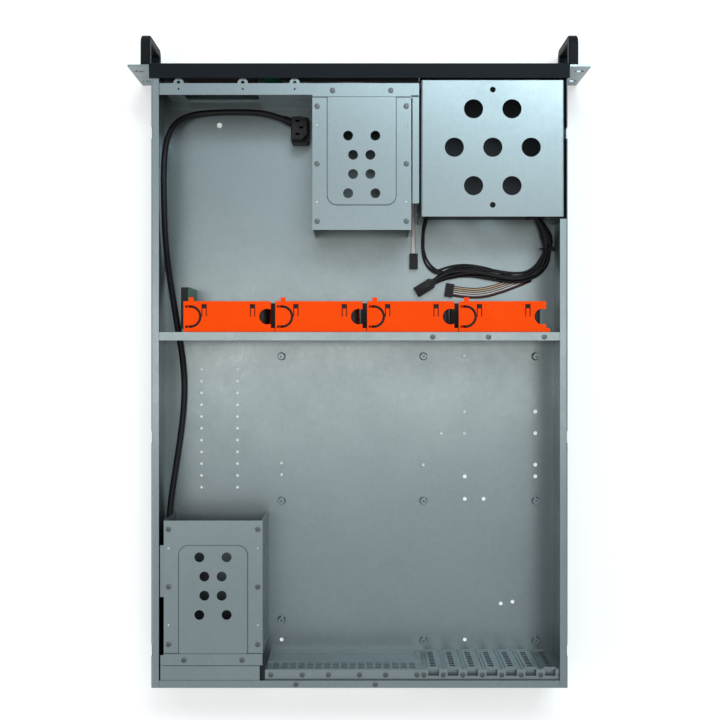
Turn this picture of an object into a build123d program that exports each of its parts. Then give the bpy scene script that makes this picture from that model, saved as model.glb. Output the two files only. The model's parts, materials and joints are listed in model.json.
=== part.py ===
# Two-unit rackmount server case, empty, with its lid off.
# Frame: origin on the underside at the middle of the case, +Z up, front towards -Y. Millimetres.
import os
from math import cos, pi, radians, sin, tan

from build123d import *

os.makedirs("parts", exist_ok=True)

# Case
case_width = 434.0
case_depth = 650.0
case_height = 87.8
sheet = 1.2
bend = 1.8
flange = 8.2
fit_gap = 0.3

# Lid notches and rail holes in the side walls
lid_notch_length = 12.0
lid_notch_depth = 2.0
lid_notch_height = 5.0
lid_notch_from_front = 72.0
lid_notch_from_rear = 39.0
lid_notch_middle = 64.0
rail_hole_r = 2.2
rail_hole_z = 44.0
rail_hole_from_ends = 110.0
wall_hole = 4.0
wall_hole_z = 62.0
wall_hole_ys = (41.0, 138.0)

# Floor: main board bosses on the standard board pattern, and plain holes
boss_base_r = 4.5
boss_top_r = 3.3
boss_height = 6.3
boss_tap_r = 1.45
board_column_gap_io = 157.48
board_column_from_slot = 3.86
board_row_gap_io = 22.86
board_row_gap_middle = 154.94
board_row_gap_front = 315.0
board_hole_to_panel = 12.3
board_column_from_io = 9.03
floor_hole_r = 2.2
# Plain holes and ringed holes: across from the slot column of bosses, back from their middle row
floor_holes = (
    (78.4, 154.5),
    (281.9, 154.5),
    (38.4, 114.5),
    (25.4, 112.5),
    (78.4, -1.8),
    (57.4, -1.8),
    (78.4, -26.8),
    (0, -26.8),
    (0, -39.8),
    (0, -74.8),
    (0, -98.8),
)
ring_holes = (
    (281.9, -28.8),
    (281.9, -41.8),
    (124.4, -39.8),
    (104.4, -74.8),
    (78.4, -74.8),
    (78.4, -98.8),
    (78.4, -160.8),
)
ring_hole_r = 1.6
ring_r = 3.2
ring_height = 1.2
slide_hole_r = 1.5
slide_column_from_wall = 41.5
slide_column_gap = 40.0
slide_hole_pitch = 13.1
slide_hole_count = 11
slide_row_from_rear = 331.0
drain_hole_r = 3.0
drain_hole_from_wall = 61.5
drain_hole_from_front = 48.0

# Rear panel: recess, shelf, rim
recess_depth = 18.0
shelf_drop = 4.0
rim = 7.5
io_width = 158.75
io_height = 44.45
io_z = 3.2
io_to_slots = 4.0
io_border = 3.0
io_plate_sheet = 0.8
io_plate_lip = 2.0
panel_vent_width = 6.6
panel_vent_height = 3.6
panel_vent_pitch_x = 9.0
panel_vent_pitch_z = 6.6
panel_vent_margin = 4.0

# Card slots
slot_pitch = 20.32
slot_from_wall = 17.7
slot_open_width = 14.2
slot_open_z = 7.0
slot_cover_width = 18.4
slot_cover_sheet = 0.9
slot_emboss_width = 12.3
slot_emboss_height = 1.0
slot_emboss_end = 3.0
slot_vent_width = 5.7
slot_vent_height = 6.6
slot_vent_pitch = 9.2
slot_tongue_width = 10.0
slot_tongue_drop = 0.8
slot_lip = 8.7
slot_lip_width = 13.6
slot_lip_drop = 6.5
shelf_notch_width = 11.5
shelf_notch_depth = 6.5

# Screws: head, shank and the gap in their holes
screw_head_r = 2.8
screw_head_height = 0.9
screw_shank_r = 1.5
screw_shank_length = 3.0
screw_gap = 0.1
rim_screws_from_io = (49.85, -32.65)
shelf_screws_from_io = (76.4, 43.6, 16.2, -16.2, -43.5, -76.2)

# Front bezel, ears and handles
bezel_sheet = 1.5
bezel_depth = 15.4
bezel_overhang = 1.8
bezel_edge = 1.2
bezel_lift = 0.3
bezel_rail = 2.4
bezel_slot_width = 4.0
bezel_slot_height = 60.0
bezel_slot_pitch = 9.0
bezel_slot_count = 8
bezel_slot_from_wall = 67.0
ear_reach = 24.3
ear_sheet = 2.0
ear_leg = 12.0
ear_slot_from_edge = 8.75
ear_slot_spacing = 44.45
ear_slot_length = 10.2
ear_slot_width = 6.8
handle_width = 10.0
handle_reach = 33.0
handle_bar = 8.5
handle_leg = 10.0
handle_margin = 7.9
handle_corner = 10.0
handle_inner_corner = 4.0
handle_edge = 1.2
handle_from_bezel = 0.4

# Controls on the bezel
controls_from_wall = 125.0
power_up = 14.1
power_r = 6.0
reset_up = -5.9
reset_r = 3.0
button_proud = 1.6
button_flange = 1.6
button_flange_sheet = 1.2
button_length = 8.0
lens_ups = (30.1, -21.9)
lens_r = 1.5
board_width = 20.0
board_sheet = 1.6
board_from_bezel = 10.5
switch_size = 6.0
button_travel = 1.4

# Front wall behind the bezel
front_wall_from_front = 20.3
front_wall_flange = 12.0
lug_r = 5.4
lug_hole_r = 1.8
lug_pin_hole_r = 1.1
lug_from_wall = (28.5, 95.4, 149.5)
front_window_width = 80.0
front_window_height = 52.0
front_window_z = 36.0
front_window_corner = 5.0
front_window_from_wall = 67.0
front_port_r = 5.5
front_port_down = 14.6
front_port_from_wall = (122.0, 142.0)
lead_port_width = 13.0
lead_port_height = 28.0
lead_port_corner = 4.0
lead_port_z = 28.0
lead_port_from_end = 9.2
front_foot = 10.0

# Bay cage: one folded sheet with a perforated top
bay_side_gap = 2.4
bay_from_front = 17.5
bay_width = 149.2
bay_depth = 141.8
bay_drop = 0.2
bay_foot = 8.0
bay_hole_r = 10.0
bay_hole_pitch = 40.0
bay_small_hole_r = 3.0
bay_small_hole_gap = 60.0
bay_side_slot_length = 14.0
bay_side_slot_width = 4.0
bay_blank_sheet = 2.5
bay_blank_rim = 5.0
bay_blank_wall = 1.6
bay_blank_edge = 0.8

# Drive cages: body and cover
cage_width = 103.0
cage_depth = 139.8
cage_drop = 3.4
cage_flange = 9.5
cage_foot = 8.0
cage_mount_drop = 0.2
cage_mount_flange = 10.4
front_cage_flange = 8.3
front_cage_flange_length = 112.0
rear_cage_flange = 4.2
rear_cage_flange_from_end = 60.0
rear_cage_flange_length = 54.0
cage_to_bay = 10.3
cage_from_front = 33.2
cage_slot_length = 16.0
cage_slot_width = 5.0
cage_slot_zs = (20.0, 62.0)
rear_cage_from_wall = 13.0
rear_cage_from_rear = 34.0
cover_hole_r = 5.15
cover_hole_rows = (41.8, 61.8, 81.8, 101.8)
cover_hole_gap_outer = 28.4
cover_hole_gap_inner = 18.0
cover_emboss_width = 70.6
cover_emboss_end = 26.5
cover_emboss_corner = 9.5
cover_emboss_height = 1.4
cover_screw_from_edge = 5.0
cover_screw_rows = (10.8, 70.8, 130.8)
cover_hole_small_rows = (30.8, 110.8)
cover_small_hole_r = 1.4
cage_mount_screws = 30.3

# Bracket that carries the rear cage on the rear wall
bracket_skirt = 30.0
bracket_from_wall = 9.6
bracket_width = 103.4

# Fan wall
fan_wall_flange = 8.6
fan_wall_foot = 10.0
fan_wall_from_boss_row = 25.0
fan_wall_screw_from_wall = (24.6, 82.6, 140.7)
cable_notch_width = 18.0
cable_notch_height = 34.0
cable_notch_from_wall = 4.0

# Fan modules
fan_head_room = 6.0
fan_depth = 25.0
fan_rim = 2.0
fan_corner = 4.0
fan_corner_hole_r = 2.1
fan_corner_hole_in = 4.25
fan_row_shift = -5.6
carrier_wall = 2.0
carrier_depth = 32.0
carrier_top = 2.2
carrier_overhang = 3.2
carrier_socket_space = 11.1
carrier_notch_r = 7.7
carrier_slit = 2.0
carrier_arc_r = 10.5
carrier_arc_in = 7.0
carrier_latch_width = 5.5
carrier_latch_length = 12.0
carrier_latch_from_front = 4.0
carrier_latch_ins = (21.5, 72.0)
carrier_foot_length = 4.0
carrier_foot_width = 4.0
carrier_tab_width = 5.0
carrier_tab_reach = 4.0
carrier_tab_in = 8.0
fan_strut_count = 4
fan_strut_width = 4.0
fan_strut_depth = 3.0
hub_r = 18.0
hub_wall = 1.6
hub_length = 17.0
stator_r = 13.0
stator_length = 12.0
shaft_r = 1.5
shaft_gap = 0.05
blade_count = 7
blade_sheet = 1.4
blade_root_chord = 16.0
blade_tip_chord = 22.0
blade_root_pitch = 48.0
blade_tip_pitch = 32.0
blade_tip_gap = 1.6
blade_tip_sag = 1.6
rotor_gap = 0.6

# Fan boards and sockets
socket_board_sheet = 1.6
socket_board_height = 58.0
socket_board_front = 1.0
socket_board_lead = 17.0
socket_width = 7.6
socket_height = 16.0
socket_end = 4.0

# Mains inlet, cord and plug
inlet_width = 27.0
inlet_height = 20.0
inlet_depth = 20.0
inlet_flange = 1.6
inlet_flange_sheet = 1.5
inlet_wall = 2.2
inlet_pin_width = 2.0
inlet_pin_height = 4.0
inlet_pin_length = 11.0
inlet_pin_gap = 7.0
inlet_pin_offset = 2.0
inlet_from_wall = 15.6
inlet_z = 24.0
inlet_boss_r = 3.9
inlet_boss_length = 6.0
inlet_boss_shift = 9.6
cord_r = 3.25
plug_body_width = 20.0
plug_body_length = 28.0
plug_body_height = 20.0
plug_nose_width = 16.0
plug_nose_length = 24.0
plug_nose_height = 15.0
plug_nose_chamfer = 5.0
plug_pin_width = 2.6
plug_pin_length = 4.6
plug_pin_depth = 10.0
plug_pin_gap = 7.0
plug_pin_offset = 2.0
plug_edge = 2.0
plug_x = 65.0
plug_y = -268.0
plug_relief_r = 5.0
plug_relief_tip_r = 4.0
plug_relief_length = 14.0
plug_relief_z = 9.0
plug_relief_angle = -20.0
plug_lead = 12.0

# Cords: share of the shorter run that a bend takes at each end
bend_share = 0.45

# Wire harness
bundle_r = 4.5
lead_r = 2.5
ribbon_width = 12.0
ribbon_sheet = 1.4
connector_width = 20.0
connector_depth = 12.0
connector_wall = 1.5
connector_cavity = 6.0
small_connector_width = 9.0
small_connector_length = 17.0
small_connector_height = 7.0
ribbon_plug_width = 15.0
ribbon_plug_length = 9.0
ribbon_plug_height = 5.0
tie_width = 3.0
tie_wall = 1.2

# Places worked out from the sizes above
half_width = case_width / 2
inner_half = half_width - sheet
rail_half = half_width - flange - fit_gap
y_front = -case_depth / 2
y_rear = case_depth / 2
wall_top = case_height - bezel_sheet - fit_gap
fan_size = wall_top - fan_head_room
fan_bore_r = fan_size / 2 - fan_rim
tray_front = y_front + bezel_sheet + ear_sheet + fit_gap
panel_y = y_rear - recess_depth
shelf_z = wall_top - shelf_drop
panel_half = inner_half - fit_gap
slot_last_x = -half_width + slot_from_wall
slot_room = 2 * half_width - bracket_from_wall - bracket_width - slot_from_wall + slot_pitch / 2
slot_count = int((slot_room - io_to_slots - io_width - io_border) // slot_pitch)
slot_xs = [slot_last_x + i * slot_pitch for i in range(slot_count)]
io_x = slot_xs[-1] + slot_pitch / 2 + io_to_slots + io_width / 2
io_end = io_x + io_width / 2 + io_border
shelf_y = (panel_y + y_rear - rim) / 2

board_y0 = panel_y - board_hole_to_panel
board_io_column = io_x + io_width / 2 - board_column_from_io
board_x1 = board_io_column - board_column_gap_io
board_x2 = slot_last_x + board_column_from_slot
board_front_y = board_y0 - board_row_gap_front
board_middle_y = board_y0 - board_row_gap_middle
board_bosses = [
    (board_io_column, board_y0 - board_row_gap_io),
    (board_x1, board_y0),
    (board_x2, board_y0),
    (board_io_column, board_middle_y),
    (board_x1, board_middle_y),
    (board_x2, board_middle_y),
    (board_io_column, board_front_y),
    (board_x1, board_front_y),
    (board_x2, board_front_y),
]

fan_wall_y = board_front_y - fan_wall_from_boss_row
fan_body_width = fan_size + 2 * (fit_gap + carrier_wall)
fan_pitch = fan_body_width + carrier_socket_space
fan_count = int(2 * panel_half // fan_pitch)
fan_y = fan_wall_y - fit_gap - carrier_depth / 2
fan_z = sheet + fit_gap + fan_size / 2
fan_xs = [fan_row_shift + fan_pitch * ((fan_count - 1) / 2 - i) for i in range(fan_count)]
carrier_z = sheet + fit_gap + fan_size + fit_gap
carrier_half = fan_body_width / 2 + carrier_overhang

bay_x = -half_width + sheet + bay_side_gap + bay_width / 2
bay_front = y_front + bay_from_front
bay_rear = bay_front + bay_depth
bay_top = wall_top - bay_drop
cage_top = wall_top - cage_drop
front_cage_x = bay_x + bay_width / 2 + cage_to_bay + cage_width / 2
front_cage_y = y_front + cage_from_front
rear_cage_x = half_width - rear_cage_from_wall - cage_width / 2
rear_cage_y = y_rear - rear_cage_from_rear
front_wall_y = y_front + front_wall_from_front
front_wall_top = wall_top - cage_mount_drop - sheet
front_wall_end = front_cage_x - cage_width / 2 - front_cage_flange
inlet_x = inner_half - inlet_from_wall
controls_x = half_width - controls_from_wall
power_z = case_height / 2 + power_up
reset_z = case_height / 2 + reset_up
lens_zs = [case_height / 2 + up for up in lens_ups]


def save(piece, name):
    piece.part.label = name
    export_step(piece.part, f"parts/{name}.step")


# Base tray: floor, walls and top flanges
with BuildPart() as base_tray:
    with BuildSketch(Plane.XZ.offset(-y_rear)) as section:
        with BuildLine():
            Polyline(
                (flange - half_width, wall_top - sheet),
                (flange - half_width, wall_top),
                (-half_width, wall_top),
                (-half_width, 0),
                (half_width, 0),
                (half_width, wall_top),
                (half_width - flange, wall_top),
                (half_width - flange, wall_top - sheet),
                (inner_half, wall_top - sheet),
                (inner_half, sheet),
                (-inner_half, sheet),
                (-inner_half, wall_top - sheet),
                close=True,
            )
        make_face()
        bends = [v for v in section.vertices() if abs(v.X) > inner_half + sheet / 2]
        fillet(bends, bend)
    extrude(amount=y_rear - tray_front)
    # Room for the bay cage in the right flange
    with BuildSketch(Plane.XY.offset(wall_top)):
        with Locations((-half_width + sheet + flange / 2, (bay_front + bay_rear) / 2)):
            Rectangle(flange, bay_depth + 2 * bay_side_gap)
    extrude(amount=-sheet - bend, mode=Mode.SUBTRACT)
    # Notches for the lid's hooks
    lid_notch_ys = (y_front + lid_notch_from_front, lid_notch_middle, y_rear - lid_notch_from_rear)
    with BuildSketch(Plane.XY.offset(wall_top)):
        with Locations(*[(side * half_width, y) for side in (-1, 1) for y in lid_notch_ys]):
            Rectangle(2 * lid_notch_depth, lid_notch_length)
    extrude(amount=-lid_notch_height, mode=Mode.SUBTRACT)
    # Tapped bosses for the main board, blind at the floor
    with Locations(*[(x, y, sheet) for x, y in board_bosses]):
        Cone(boss_base_r, boss_top_r, boss_height, align=(Align.CENTER, Align.CENTER, Align.MIN))
    with BuildSketch(Plane.XY.offset(sheet)):
        with Locations(*board_bosses):
            Circle(boss_tap_r)
    extrude(amount=boss_height, mode=Mode.SUBTRACT)
    # Plain and ringed holes in the floor
    floor_places = [(board_x2 + x, board_middle_y + y) for x, y in floor_holes]
    ring_places = [(board_x2 + x, board_middle_y + y) for x, y in ring_holes]
    with BuildSketch(Plane.XY.offset(sheet)):
        with Locations(*ring_places):
            Circle(ring_r)
    extrude(amount=ring_height)
    with BuildSketch(Plane.XY):
        with Locations(*ring_places):
            Circle(ring_hole_r)
    extrude(amount=sheet + ring_height, mode=Mode.SUBTRACT)
    slide_x = half_width - slide_column_from_wall - slide_column_gap / 2
    slide_y = y_rear - slide_row_from_rear + slide_hole_pitch * (slide_hole_count - 1) / 2
    with BuildSketch(Plane.XY):
        with Locations(*floor_places):
            Circle(floor_hole_r)
        with Locations((half_width - drain_hole_from_wall, y_front + drain_hole_from_front)):
            Circle(drain_hole_r)
        with Locations((slide_x, slide_y)):
            with GridLocations(slide_column_gap, slide_hole_pitch, 2, slide_hole_count):
                Circle(slide_hole_r)
        with Locations(*[(x, panel_y - slot_cover_sheet / 2) for x in slot_xs]):
            Rectangle(slot_tongue_width + 2 * fit_gap, slot_cover_sheet + 2 * fit_gap)
    extrude(amount=sheet, mode=Mode.SUBTRACT)
    # Holes in the side walls
    with BuildSketch(Plane.YZ.offset(-half_width)):
        with Locations(
            (y_front + rail_hole_from_ends, rail_hole_z),
            (y_rear - rail_hole_from_ends, rail_hole_z),
        ):
            Circle(rail_hole_r)
        with Locations(*[(y, wall_hole_z) for y in wall_hole_ys]):
            Rectangle(wall_hole, wall_hole)
    extrude(amount=case_width, mode=Mode.SUBTRACT)
save(base_tray, "base_tray")

# Rear panel: recessed wall, shelf, riser and rim in one folded sheet
slot_open_height = shelf_z - slot_open_z
shelf_screw_xs = [io_x + gap for gap in shelf_screws_from_io]
rim_screw_xs = [io_x + gap for gap in rim_screws_from_io]
slot_screw_xs = [slot_last_x + (i - 0.5) * slot_pitch for i in range(slot_count + 1)]
vent_room = shelf_z - sheet - io_z - io_height
vent_rows = int((vent_room - panel_vent_margin) // panel_vent_pitch_z)
vent_columns = int((io_width - panel_vent_margin) // panel_vent_pitch_x)
with BuildPart() as rear_panel:
    with BuildSketch(Plane.YZ.offset(-panel_half)):
        with BuildLine():
            Polyline(
                (panel_y, sheet),
                (panel_y, shelf_z),
                (y_rear - sheet, shelf_z),
                (y_rear - sheet, wall_top - sheet),
                (y_rear - rim, wall_top - sheet),
                (y_rear - rim, wall_top),
                (y_rear, wall_top),
                (y_rear, shelf_z - sheet),
                (panel_y + sheet, shelf_z - sheet),
                (panel_y + sheet, sheet),
                close=True,
            )
        make_face()
    extrude(amount=panel_half + io_end)
    with BuildSketch(Plane.YZ.offset(io_end)):
        with BuildLine():
            Polyline(
                (y_rear - sheet, sheet),
                (y_rear - sheet, wall_top - sheet),
                (y_rear - rim, wall_top - sheet),
                (y_rear - rim, wall_top),
                (y_rear, wall_top),
                (y_rear, sheet),
                close=True,
            )
        make_face()
    extrude(amount=panel_half - io_end)
    with BuildSketch(Plane.YZ.offset(io_end - sheet)):
        with Locations(((panel_y + y_rear) / 2, (sheet + shelf_z) / 2)):
            Rectangle(recess_depth, shelf_z - sheet)
    extrude(amount=sheet)
    # Corners that clear the tray's top flanges
    with BuildSketch(Plane.XY.offset(wall_top)):
        with Locations((-panel_half, y_rear), (panel_half, y_rear)):
            Rectangle(2 * (panel_half - rail_half), 2 * rim)
    extrude(amount=-sheet - fit_gap, mode=Mode.SUBTRACT)
    # Openings in the recessed wall
    with BuildSketch(Plane.XZ.offset(-panel_y)):
        with Locations((io_x, io_z + io_height / 2)):
            Rectangle(io_width, io_height)
        with Locations((io_x, io_z + io_height + vent_room / 2)):
            with GridLocations(panel_vent_pitch_x, panel_vent_pitch_z, vent_columns, vent_rows):
                Rectangle(panel_vent_width, panel_vent_height)
        with Locations(*[(x, slot_open_z + slot_open_height / 2) for x in slot_xs]):
            Rectangle(slot_open_width, slot_open_height - 2 * sheet)
    extrude(amount=-sheet, mode=Mode.SUBTRACT)
    # Notches and screw holes in the shelf
    with BuildSketch(Plane.XY.offset(shelf_z)):
        with Locations(*[(x, panel_y + shelf_notch_depth / 2) for x in slot_xs]):
            Rectangle(shelf_notch_width, shelf_notch_depth)
        with Locations(*[(x, shelf_y) for x in slot_screw_xs + shelf_screw_xs]):
            Circle(screw_shank_r + screw_gap)
    extrude(amount=-sheet, mode=Mode.SUBTRACT)
    with BuildSketch(Plane.XY.offset(wall_top)):
        with Locations(*[(x, y_rear - rim / 2) for x in rim_screw_xs]):
            Circle(screw_shank_r + screw_gap)
    extrude(amount=-sheet, mode=Mode.SUBTRACT)
    # Cut-out for the mains inlet
    with BuildSketch(Plane.XZ.offset(-y_rear)):
        with Locations((inlet_x, inlet_z)):
            Rectangle(inlet_width + 2 * fit_gap, inlet_height + 2 * fit_gap)
    extrude(amount=sheet, mode=Mode.SUBTRACT)
save(rear_panel, "rear_panel")

# Blank plate that snaps into the I/O opening
with BuildPart() as io_plate:
    with BuildSketch(Plane.XZ.offset(-panel_y)):
        with Locations((io_x, io_z + io_height / 2)):
            Rectangle(io_width + 2 * io_plate_lip, io_height + 2 * (io_z - sheet - fit_gap))
    extrude(amount=io_plate_sheet)
    with BuildSketch(Plane.XZ.offset(-panel_y)):
        with Locations((io_x, io_z + io_height / 2)):
            Rectangle(io_width - 2 * fit_gap, io_height - 2 * fit_gap)
    extrude(amount=-sheet)
    with BuildSketch(Plane.XZ.offset(io_plate_sheet - panel_y)):
        with Locations((io_x, io_z + io_height / 2)):
            Rectangle(
                io_width - 2 * fit_gap - 2 * io_plate_sheet,
                io_height - 2 * fit_gap - 2 * io_plate_sheet,
            )
    extrude(amount=-sheet, mode=Mode.SUBTRACT)
save(io_plate, "io_plate")

# Slot covers: pressed plate with vents, a tongue in the floor and a lip under the shelf
slot_cover_top = shelf_z - sheet - fit_gap
slot_cover_height = slot_cover_top - sheet - fit_gap
slot_cover_z = (slot_cover_top + sheet + fit_gap) / 2
slot_emboss_long = slot_open_height - 2 * sheet - 2 * slot_emboss_end
slot_emboss_z = slot_open_z + slot_open_height / 2
slot_vent_room = slot_emboss_long - 2 * slot_cover_sheet - slot_vent_height
slot_vent_count = 1 + int(slot_vent_room // slot_vent_pitch)
for index, slot_x in enumerate(slot_xs):
    with BuildPart() as slot_cover:
        with BuildSketch(Plane.XZ.offset(-panel_y)):
            with Locations((slot_x, slot_cover_z)):
                Rectangle(slot_cover_width, slot_cover_height)
            with Locations((slot_x, sheet + fit_gap)):
                Rectangle(slot_tongue_width, 2 * (slot_tongue_drop + fit_gap))
        extrude(amount=slot_cover_sheet)
        with BuildSketch(Plane.XZ.offset(slot_cover_sheet - panel_y)):
            with Locations((slot_x, slot_emboss_z)):
                Rectangle(slot_emboss_width, slot_emboss_long)
        extrude(amount=slot_emboss_height)
        with BuildSketch(Plane.XZ.offset(-panel_y)):
            with Locations((slot_x, slot_emboss_z)):
                Rectangle(
                    slot_emboss_width - 2 * slot_cover_sheet,
                    slot_emboss_long - 2 * slot_cover_sheet,
                )
        extrude(amount=slot_emboss_height, mode=Mode.SUBTRACT)
        with BuildSketch(Plane.XZ.offset(-panel_y)):
            with Locations((slot_x, slot_emboss_z)):
                with GridLocations(slot_vent_pitch, slot_vent_pitch, 1, slot_vent_count):
                    Rectangle(slot_vent_width, slot_vent_height)
        extrude(amount=slot_cover_sheet + slot_emboss_height, mode=Mode.SUBTRACT)
        with BuildSketch(Plane.XY.offset(slot_cover_top - slot_lip_drop)):
            with Locations((slot_x, panel_y + slot_lip / 2)):
                Rectangle(slot_lip_width, slot_lip)
        extrude(amount=-slot_cover_sheet)
    save(slot_cover, f"slot_cover_{index + 1}")


# Pan head screws standing on a sheet, as one group
def screw_group(places, name):
    with BuildPart() as screws:
        for x, y, z in places:
            with BuildSketch(Plane.XY.offset(z)):
                with Locations((x, y)):
                    Circle(screw_head_r)
            extrude(amount=screw_head_height)
            with BuildSketch(Plane.XY.offset(z)):
                with Locations((x, y)):
                    Circle(screw_shank_r)
            extrude(amount=-screw_shank_length)
    save(screws, name)


screw_group([(x, shelf_y, shelf_z) for x in slot_screw_xs], "slot_screws")
rear_screws = [(x, shelf_y, shelf_z) for x in shelf_screw_xs]
rear_screws += [(x, y_rear - rim / 2, wall_top) for x in rim_screw_xs]
screw_group(rear_screws, "rear_panel_screws")

# Front bezel: a face with top and bottom returns
bezel_half = half_width + bezel_overhang
bay_open_z = (bezel_lift + case_height) / 2
bay_open_height = case_height - bezel_lift - 2 * (bezel_rail + bezel_sheet)
bay_open_width = bay_width - 2 * sheet
with BuildPart() as front_bezel:
    with BuildSketch(Plane.YZ.offset(-bezel_half)):
        with BuildLine():
            Polyline(
                (y_front, bezel_lift),
                (y_front, case_height),
                (y_front + bezel_depth, case_height),
                (y_front + bezel_depth, case_height - bezel_sheet),
                (y_front + bezel_sheet, case_height - bezel_sheet),
                (y_front + bezel_sheet, bezel_lift),
                close=True,
            )
        make_face()
    extrude(amount=2 * bezel_half)
    front_edges = front_bezel.edges().filter_by(Axis.X).sort_by(Axis.Y)[:2]
    fillet(front_edges.sort_by(Axis.Z)[-1:], bezel_edge)
    with BuildSketch(Plane.XZ.offset(-y_front)):
        with Locations((bay_x, bay_open_z)):
            Rectangle(bay_open_width, bay_open_height)
        with Locations((half_width - bezel_slot_from_wall, case_height / 2)):
            with GridLocations(bezel_slot_pitch, bezel_slot_pitch, bezel_slot_count, 1):
                SlotOverall(bezel_slot_height, bezel_slot_width, rotation=90)
        with Locations((controls_x, power_z)):
            Circle(power_r + fit_gap)
        with Locations((controls_x, reset_z)):
            Circle(reset_r + fit_gap)
        with Locations(*[(controls_x, z) for z in lens_zs]):
            Circle(lens_r + fit_gap)
    extrude(amount=-bezel_sheet, mode=Mode.SUBTRACT)
save(front_bezel, "front_bezel")

# Blanks in the two bay openings of the bezel
blank_height = (bay_open_height - 3 * fit_gap) / 2
blank_width = bay_open_width - 2 * fit_gap
blank_zs = {
    "lower": bay_open_z - (blank_height + fit_gap) / 2,
    "upper": bay_open_z + (blank_height + fit_gap) / 2,
}
for level, blank_z in blank_zs.items():
    with BuildPart() as bay_blank:
        with BuildSketch(Plane.XZ.offset(-y_front)):
            with Locations((bay_x, blank_z)):
                Rectangle(blank_width, blank_height)
        extrude(amount=-bay_blank_rim - bay_blank_sheet)
        chamfer(bay_blank.faces().sort_by(Axis.Y)[0].edges(), bay_blank_edge)
        with BuildSketch(Plane.XZ.offset(-y_front - bay_blank_sheet)):
            with Locations((bay_x, blank_z)):
                Rectangle(blank_width - 2 * bay_blank_wall, blank_height - 2 * bay_blank_wall)
        extrude(amount=-bay_blank_rim, mode=Mode.SUBTRACT)
    save(bay_blank, f"bay_blank_{level}")

# Rack ears: slotted plate with a short leg on the tray's wall, and the handles on them
ear_y = y_front + bezel_sheet
ear_end = half_width + ear_reach
ear_slot_x = ear_end - ear_slot_from_edge
handle_height = case_height - 2 * handle_margin
handle_x = bezel_half + handle_from_bezel + handle_width / 2
for side, side_name in ((1, "left"), (-1, "right")):
    with BuildPart() as rack_ear:
        with BuildSketch(Plane.XZ.offset(-ear_y)):
            ear_inner = bezel_half + fit_gap
            with Locations((side * (ear_inner + ear_end) / 2, case_height / 2)):
                Rectangle(ear_end - ear_inner, case_height - 2 * bezel_lift)
            with Locations((side * (half_width + ear_inner) / 2, case_height / 2 - bezel_sheet)):
                Rectangle(ear_inner - half_width, case_height - 4 * bezel_sheet)
            with Locations(
                (side * ear_slot_x, case_height / 2 - ear_slot_spacing / 2),
                (side * ear_slot_x, case_height / 2 + ear_slot_spacing / 2),
            ):
                SlotOverall(ear_slot_length, ear_slot_width, mode=Mode.SUBTRACT)
        extrude(amount=-ear_sheet)
        with BuildSketch(Plane.XZ.offset(-ear_y - ear_sheet)):
            with Locations((side * (half_width + bezel_overhang / 2), case_height / 2 - bezel_sheet)):
                Rectangle(bezel_overhang, case_height - 4 * bezel_sheet)
        extrude(amount=-ear_leg)
    save(rack_ear, f"rack_ear_{side_name}")

    with BuildPart() as handle:
        with BuildSketch(Plane.YZ.offset(side * handle_x - handle_width / 2)) as bar:
            reach = handle_reach + bezel_sheet
            with Locations((ear_y - reach / 2, case_height / 2)):
                Rectangle(reach, handle_height)
            outer = bar.vertices().group_by(Axis.X)[0]
            fillet(outer, handle_corner)
            with BuildSketch(mode=Mode.SUBTRACT) as grip:
                inner = reach - handle_bar
                with Locations((ear_y - inner / 2, case_height / 2)):
                    Rectangle(inner, handle_height - 2 * handle_leg)
                fillet(grip.vertices().group_by(Axis.X)[0], handle_inner_corner)
        extrude(amount=handle_width)
        rims = handle.faces().filter_by(Axis.X)
        chamfer(rims.edges().filter_by(GeomType.LINE).filter_by(Axis.Z), handle_edge)
    save(handle, f"handle_{side_name}")

# Buttons, lenses and the small board behind the bezel
board_y = y_front + bezel_sheet + board_from_bezel
button_back = y_front - button_proud + button_length
for name, z, r in (("power_button", power_z, power_r), ("reset_button", reset_z, reset_r)):
    with BuildPart() as button:
        with BuildSketch(Plane.XZ.offset(button_proud - y_front)):
            with Locations((controls_x, z)):
                Circle(r)
        extrude(amount=-button_length)
        chamfer(button.edges().sort_by(Axis.Y)[0], fit_gap)
        with BuildSketch(Plane.XZ.offset(-y_front - bezel_sheet - fit_gap)):
            with Locations((controls_x, z)):
                Circle(r + button_flange)
        extrude(amount=-button_flange_sheet)
    save(button, name)

with BuildPart() as status_lenses:
    for z in lens_zs:
        with BuildSketch(Plane.XZ.offset(fit_gap - y_front)):
            with Locations((controls_x, z)):
                Circle(lens_r)
        extrude(amount=-(board_y - y_front + fit_gap))
save(status_lenses, "status_lenses")

with BuildPart() as control_board:
    with BuildSketch(Plane.XZ.offset(-board_y)):
        with Locations((controls_x, (sheet + front_wall_top) / 2)):
            Rectangle(board_width, front_wall_top - sheet - 2 * fit_gap)
    extrude(amount=-board_sheet)
    # Switch bodies that the buttons reach at the end of their travel
    with BuildSketch(Plane.XZ.offset(-board_y)):
        with Locations((controls_x, power_z), (controls_x, reset_z)):
            Rectangle(switch_size, switch_size)
    extrude(amount=board_y - button_back - button_travel - fit_gap)
save(control_board, "control_board")

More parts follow.
